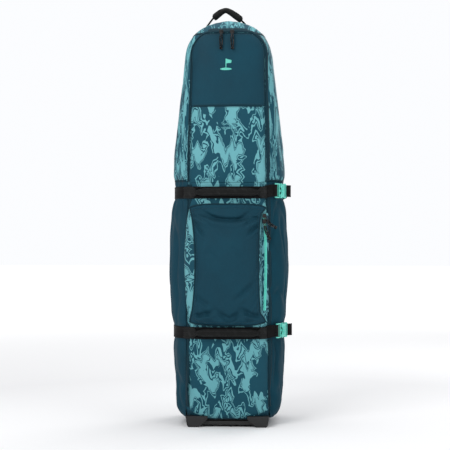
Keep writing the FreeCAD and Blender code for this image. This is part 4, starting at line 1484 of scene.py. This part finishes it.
CLOTH_SETTINGS = {
    "quality": 8, "mass": 0.25, "tension_stiffness": 30, "compression_stiffness": 30, "shear_stiffness": 12,
    "bending_stiffness": 3.0, "vertex_group_mass": "held", "shrink_min": -0.022, "use_pressure": True,
    "uniform_pressure_force": 1.6,
}
CLOTH_FRAMES = 18
CLOTH_REACH = 0.004  # how far the simulation may move a point


def settled_pocket(grid):
    """The pocket's cloth after a short cloth simulation, its sewn edge held."""
    rows, columns = grid.shape[:2]
    obj = make("pocket_sim", grid.reshape(-1, 3), quads(rows, columns), "plain")
    index = np.arange(rows * columns).reshape(rows, columns)
    obj.vertex_groups.new(name="held").add(rim_of(index).tolist(), 1.0, "REPLACE")
    cloth = obj.modifiers.new("cloth", "CLOTH")
    for key, value in CLOTH_SETTINGS.items():
        setattr(cloth.settings, key, value)
    cloth.settings.effector_weights.gravity = 0.6
    cloth.collision_settings.use_collision = False
    scene = bpy.context.scene
    for number in range(CLOTH_FRAMES):
        scene.frame_set(number + 1)
    moved = np.zeros(rows * columns * 3)
    obj.evaluated_get(bpy.context.evaluated_depsgraph_get()).data.vertices.foreach_get("co", moved)
    scene.frame_set(1)
    bpy.data.objects.remove(obj)
    step = moved.reshape(grid.shape) - grid
    far = np.linalg.norm(step, axis=-1, keepdims=True)
    return grid + step * np.minimum(1, CLOTH_REACH / np.maximum(far, 1e-9))


def pocket_zipper():
    """The pocket's upright zipper: its raised bed, and two rows of coil that bow with the pocket's edge."""
    z = np.linspace(*ZIP_Z, 90)
    ends = smooth(np.minimum(z - ZIP_Z[0], ZIP_Z[1] - z), 0.0, 0.012)
    bow = 0.0036 * np.sin((z - ZIP_Z[0]) / (ZIP_Z[1] - ZIP_Z[0]) * math.pi)
    skin_left, skin_right = front_depth(0.1035, z), front_depth(0.1240, z)
    face = ZIP_Y + 0.0016
    rows = []
    for x, y in (
        (0.1036, skin_left), (0.1050, (skin_left + face) / 2 - 0.001),
        (0.1062, face), (0.1120, face - 0.0002), (0.1180, face),
        (0.1200, (skin_right + face) / 2 - 0.001), (0.1240, skin_right),
    ):
        depth = y * ends + (front_depth(x, z) - 0.0005) * (1 - ends)
        rows.append(np.stack([np.full(len(z), x), depth, z], 1))
    bed = np.stack(rows, 1)
    cloth = np.stack([bed[..., 0], bed[..., 2]], -1).reshape(-1, 2)
    obj = make("pocket_zip_bed", bed.reshape(-1, 3), quads(*bed.shape[:2]), "print", cloth)
    case_trim(thicken(obj, 0.0016, "lining"), "pocket_zipper")
    inner = (z > ZIP_Z[0] + 0.006) & (z < ZIP_Z[1] - 0.004)
    path = np.stack([ZIP_X + bow[inner], np.full(inner.sum(), face - 0.0002), z[inner]], 1)[::-1]
    out = facing_front(path)
    section = [
        (-0.0018, -0.0004), (0.0018, -0.0004), (0.0016, 0.0010),
        (0.0005, 0.0014), (-0.0005, 0.0014), (-0.0016, 0.0010),
    ]
    for side in (-1, 1):
        band = shifted(path, out, side * 0.0020, 0.0001)
        teeth = ribbed(f"pocket_coil_{side + 1}", band, out, 0.00075, section, (1.0, 0.78), "mint_tape")
        case_trim(teeth, "pocket_zipper")


# ================================================================ zipper pulls, foam, mark and cords


def cord_strand(name, route, body, node):
    """One strand of a pull's doubled cord, as a curve through its route."""
    data = bpy.data.curves.new(name, "CURVE")
    data.dimensions = "3D"
    data.bevel_depth = CORD_RADIUS
    data.bevel_resolution = 4
    data.resolution_u = 16
    line = data.splines.new("NURBS")
    line.points.add(len(route) - 1)
    for point, place in zip(line.points, route):
        point.co = (*place, 1)
    line.order_u = 3
    line.use_endpoint_u = True
    data.materials.append(MATERIAL["cord"])
    data.use_fill_caps = True
    obj = place_object(name, data)
    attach(obj, body)
    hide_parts(node)


HANGING = (
    ((-2.2, 0.0, -13.2), (-3.9, -0.9, -25.0), (-3.3, 0.4, -38.5), (-2.0, 0.0, -51.0)),
    ((2.2, 0.0, -13.2), (3.4, 0.5, -26.5), (3.8, -0.7, -39.0), (2.0, 0.0, -51.0)),
)
PULLS = {  # pivot, the way the tab hangs, and both strands' routes from the pivot, in millimetres
    "main_pull_left": ((-20.0, -98.1, 1197.4), (0.0, -0.17, -1.0), HANGING),
    "main_pull_right": ((13.0, -98.1, 1197.4), (0.03, -0.17, -1.0), HANGING),
    "pocket_pull_upper": ((112.0, -139.4, 636.0), (0.46, -0.06, -0.886), (
        ((-1.0, 0.0, -13.2), (-0.8, -0.8, -24.2), (2.6, -1.2, -34.6), (9.2, -0.6, -43.4)),
        ((3.2, 0.0, -13.2), (4.4, 0.7, -23.8), (7.9, 0.4, -34.0), (13.8, -0.4, -42.8)),
    )),
    "pocket_pull_lower": ((112.0, -139.4, 619.6), (0.06, 0.0, -1.0), (
        ((-2.2, 0.0, -13.2), (-1.0, -0.9, -25.5), (3.4, 0.2, -38.3), (8.6, 0.0, -49.6)),
        ((2.2, 0.0, -13.2), (5.0, 0.6, -25.8), (8.4, -0.6, -37.2), (12.4, 0.0, -48.6)),
    )),
}
MM = 0.001
CORD_RADIUS = 0.002
KNOT_R = 0.0048  # the knot's own radius
KNOT_STEPS, KNOT_SIDES, KNOT_CORD = 84, 8, 0.0019


def knot_centre(t):
    """A point on the middle of the knotted cord."""
    r = 0.0026 + 0.0011 * math.cos(3 * t)
    return Vector((r * math.cos(2 * t), r * math.sin(2 * t), 0.0021 * math.sin(3 * t)))


def knot(name, middle, way, body, node):
    """The knot that ends a pull: one closed loop of cord, wound over and under itself three times."""
    turn = Vector((0, 0, 1)).rotation_difference(way)
    points, faces = [], []
    for k in range(KNOT_STEPS):
        t = 2 * math.pi * k / KNOT_STEPS
        centre = knot_centre(t)
        along = (knot_centre(t + 0.01) - centre).normalized()
        side = along.cross(Vector((0.3, 0.2, 0.9))).normalized()
        up = side.cross(along)
        here, after = k * KNOT_SIDES, (k + 1) % KNOT_STEPS * KNOT_SIDES
        for j in range(KNOT_SIDES):
            a = 2 * math.pi * j / KNOT_SIDES
            points.append(middle + turn @ (centre + KNOT_CORD * (math.cos(a) * side + math.sin(a) * up)))
            beside = (j + 1) % KNOT_SIDES
            faces.append((here + j, here + beside, after + beside, after + j))
    obj = make(name, points, faces, "cord")
    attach(obj, body)
    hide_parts(node)
    return obj


def pulls():
    """Every zipper pull: its doubled cord and its knot."""
    for name, (pivot, hang, routes) in PULLS.items():
        turn = Vector((0, 0, -1)).rotation_difference(Vector(hang).normalized())
        placed = [[(Vector(pivot) + turn @ Vector(p)) * MM for p in route] for route in routes]
        ends = [route[-1] for route in placed]
        ways = [(route[-1] - route[-2]).normalized() for route in placed]
        way = (ways[0] + ways[1]).normalized()
        middle = (ends[0] + ends[1]) / 2 + way * (KNOT_R - 0.0006)
        tied = knot(f"{name}_knot", middle, way, name, f"{name}_cord")
        for k, route in enumerate(placed):
            cord_strand(f"{name}_strand_{k}", route, name, f"{name}_cord")


FOAM_GAP, QUILT_PITCH = 0.0026, 0.045


def quilted(name, rows, columns, thick, body, node):
    """A quilted foam pad against the inside of the skin."""

    def puff(grid):
        level = grid[..., 0] * 0.7 + grid[..., 1] * 0.7
        down = np.sin((level + grid[..., 2]) * math.pi / QUILT_PITCH)
        up = np.sin((level - grid[..., 2]) * math.pi / QUILT_PITCH)
        return -0.0016 * np.sqrt(np.abs(down * up))

    pad = patch(name, rows, columns, "lining", offset=-(WALL + FOAM_GAP), lift=puff)
    thicken(pad, thick)
    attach(pad, body)
    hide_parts(node)


def insides():
    """Foam in the hood and behind the flap, and the strap that holds the clubs."""
    behind_flap = (row_of(0.762), row_of(1.160))
    quilted("flap_pad", behind_flap, (4, FRONT_COLS - 4), 0.0030, "flap", "flap_foam")
    hood = (row_of(0.852), TOP_ROW)
    quilted("hood_pad_right", hood, (RIGHT_SEAM + 24, RIGHT_BACK + 4), 0.0040, "case", "hood_foam")
    quilted("hood_pad_left", hood, (LEFT_BACK - 4, COLUMNS - 24), 0.0040, "case", "hood_foam")
    xs = np.linspace(-0.088, 0.088, 60)
    plan = np.stack([xs, 0.1480 - 0.0004 * np.cos(xs * 60)], 1)
    case_trim(web("club_strap", *upright(plan, 0.6525), height=0.025, thick=0.0020), "inner_strap")


MARK_X, MARK_Z = -0.0050, 1.094
MARK_PROUD = 0.0009
MARK_SHAPES = {
    "pole": [(-0.0012, -0.0145), (0.0012, -0.0145), (0.0012, 0.0170), (-0.0012, 0.0170)],
    "flag": [(0.0012, 0.0165), (0.0175, 0.0118), (0.0125, 0.0085), (0.0160, 0.0040), (0.0012, 0.0030)],
    "hole": [(0.0175 * c, -0.0145 + 0.0036 * s) for c, s in ring_turns(28)],
}


def golf_mark():
    """A plain woven mark on the hood: a pin flag over a hole."""
    hood = bpy.data.objects["hood_plain_cloth"].data
    surface = BVHTree.FromPolygons([v.co for v in hood.vertices], [tuple(p.vertices) for p in hood.polygons])
    for label, outline in MARK_SHAPES.items():
        work = bmesh.new()
        work.faces.new([work.verts.new((x, 0, z)) for x, z in outline])
        bmesh.ops.triangulate(work, faces=list(work.faces))
        bmesh.ops.subdivide_edges(work, edges=list(work.edges), cuts=3, use_grid_fill=True)
        mesh = bpy.data.meshes.new(f"mark_{label}")
        work.to_mesh(mesh)
        work.free()
        for v in mesh.vertices:
            x, z = v.co.x + MARK_X, v.co.z + MARK_Z
            hit = surface.ray_cast(Vector((x, -1, z)), Vector((0, 1, 0)))[0]
            v.co = Vector((x, hit.y - MARK_PROUD, z))
        if sum(p.normal.y for p in mesh.polygons) > 0:
            mesh.flip_normals()
        mesh.materials.append(MATERIAL["mint_mark"])
        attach(thicken(place_object(f"mark_{label}", mesh), 0.0012), "flap")


# ================================================================ hard parts that keep their CAD shape


def finish_nodes():
    """The materials of the CAD pieces that are shown as they are."""
    finishes = {
        "black": (
            "base_plate", "front_skid", "kick_plate", "back_runners", "wheel_housing_left",
            "wheel_housing_right", "main_pull_left_tab", "main_pull_right_tab", "pocket_pull_upper_tab",
            "pocket_pull_lower_tab", "inner_strap_buckle",
        ),
        "rubber": ("wheel_tyre_left", "wheel_tyre_right"),
        "hub": ("wheel_hub_left", "wheel_hub_right"),
        "steel": ("wheel_bearings_left", "wheel_bearings_right", "axles", "base_fasteners"),
        "zinc": ("main_slider_left", "main_slider_right", "pocket_slider_upper", "pocket_slider_lower"),
        "board": ("back_board",),
    }
    for label, nodes in finishes.items():
        for name in nodes:
            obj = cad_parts[name]
            obj.data.materials.clear()
            obj.data.materials.append(MATERIAL[label])


# ================================================================ studio


WORLD_LIGHT, WORLD_SEEN = 0.42, 1.0
FLOOR_REACH = 16.0
LAMPS = (  # name, place, aim, size and power
    ("key", (-1.5, -2.6, 2.7), (0, 0, 0.75), (1.8, 1.8), 60),
    ("fill", (2.4, -2.2, 1.5), (0, 0, 0.55), (1.6, 2.2), 19),
    ("top", (0.0, 0.3, 3.2), (0, 0, 0.6), (2.2, 1.6), 34),
    ("rim", (1.4, 2.0, 2.0), (0, 0, 0.8), (1.2, 1.2), 18),
)


def area_light(name, place, aim, size, power):
    """A soft box."""
    data = bpy.data.lights.new(name, "AREA")
    data.shape = "RECTANGLE"
    data.size, data.size_y = size
    data.energy = power
    lamp = place_object(name, data)
    lamp.location = place
    lamp.rotation_mode = "QUATERNION"
    lamp.rotation_quaternion = (Vector(aim) - Vector(place)).to_track_quat("-Z", "Y")


def studio():
    """A pale floor that brightens into a pale background, and soft light from above and from both sides."""
    n = Nodes("studio_floor")
    away = n.add("ShaderNodeVectorMath", {0: n.place()}, operation="LENGTH").outputs["Value"]
    n.tree.links.new(n.ramp(away, 1.2, 4.6, 0.0, 0.66), n.shader.inputs["Emission Strength"])
    n.finish(rgb(251, 251, 252), 0.85, Emission_Color=(1, 1, 1, 1))
    mesh = bpy.data.meshes.new("floor")
    corners = [(x * FLOOR_REACH, y * FLOOR_REACH, 0) for x, y in ((-1, -1), (1, -1), (1, 1), (-1, 1))]
    mesh.from_pydata(corners, [], [(0, 1, 2, 3)])
    mesh.materials.append(n.material)
    place_object("floor", mesh)
    for lamp in LAMPS:
        area_light(*lamp)
    world = bpy.data.worlds.new("soft")
    world.use_nodes = True
    tree = world.node_tree
    seen = tree.nodes.new("ShaderNodeLightPath").outputs["Is Camera Ray"]
    strength = tree.nodes.new("ShaderNodeMapRange")
    tree.links.new(seen, strength.inputs[0])
    strength.inputs[3].default_value = WORLD_LIGHT
    strength.inputs[4].default_value = WORLD_SEEN
    background = tree.nodes["Background"]
    background.inputs["Color"].default_value = (0.97, 0.98, 1.0, 1)
    tree.links.new(strength.outputs[0], background.inputs["Strength"])
    bpy.context.scene.world = world
    bpy.context.scene.view_settings.view_transform = "Standard"


make_camera()
pulls()
wall_cloth()
storm_strips()
seam_bindings()
top_strip()
straps()
for strap_name in LEVEL:
    grab_handle(strap_name)
    buckle(strap_name)
haul_handle()
pocket_cloth()
pocket_zipper()
insides()
golf_mark()
finish_nodes()
studio()
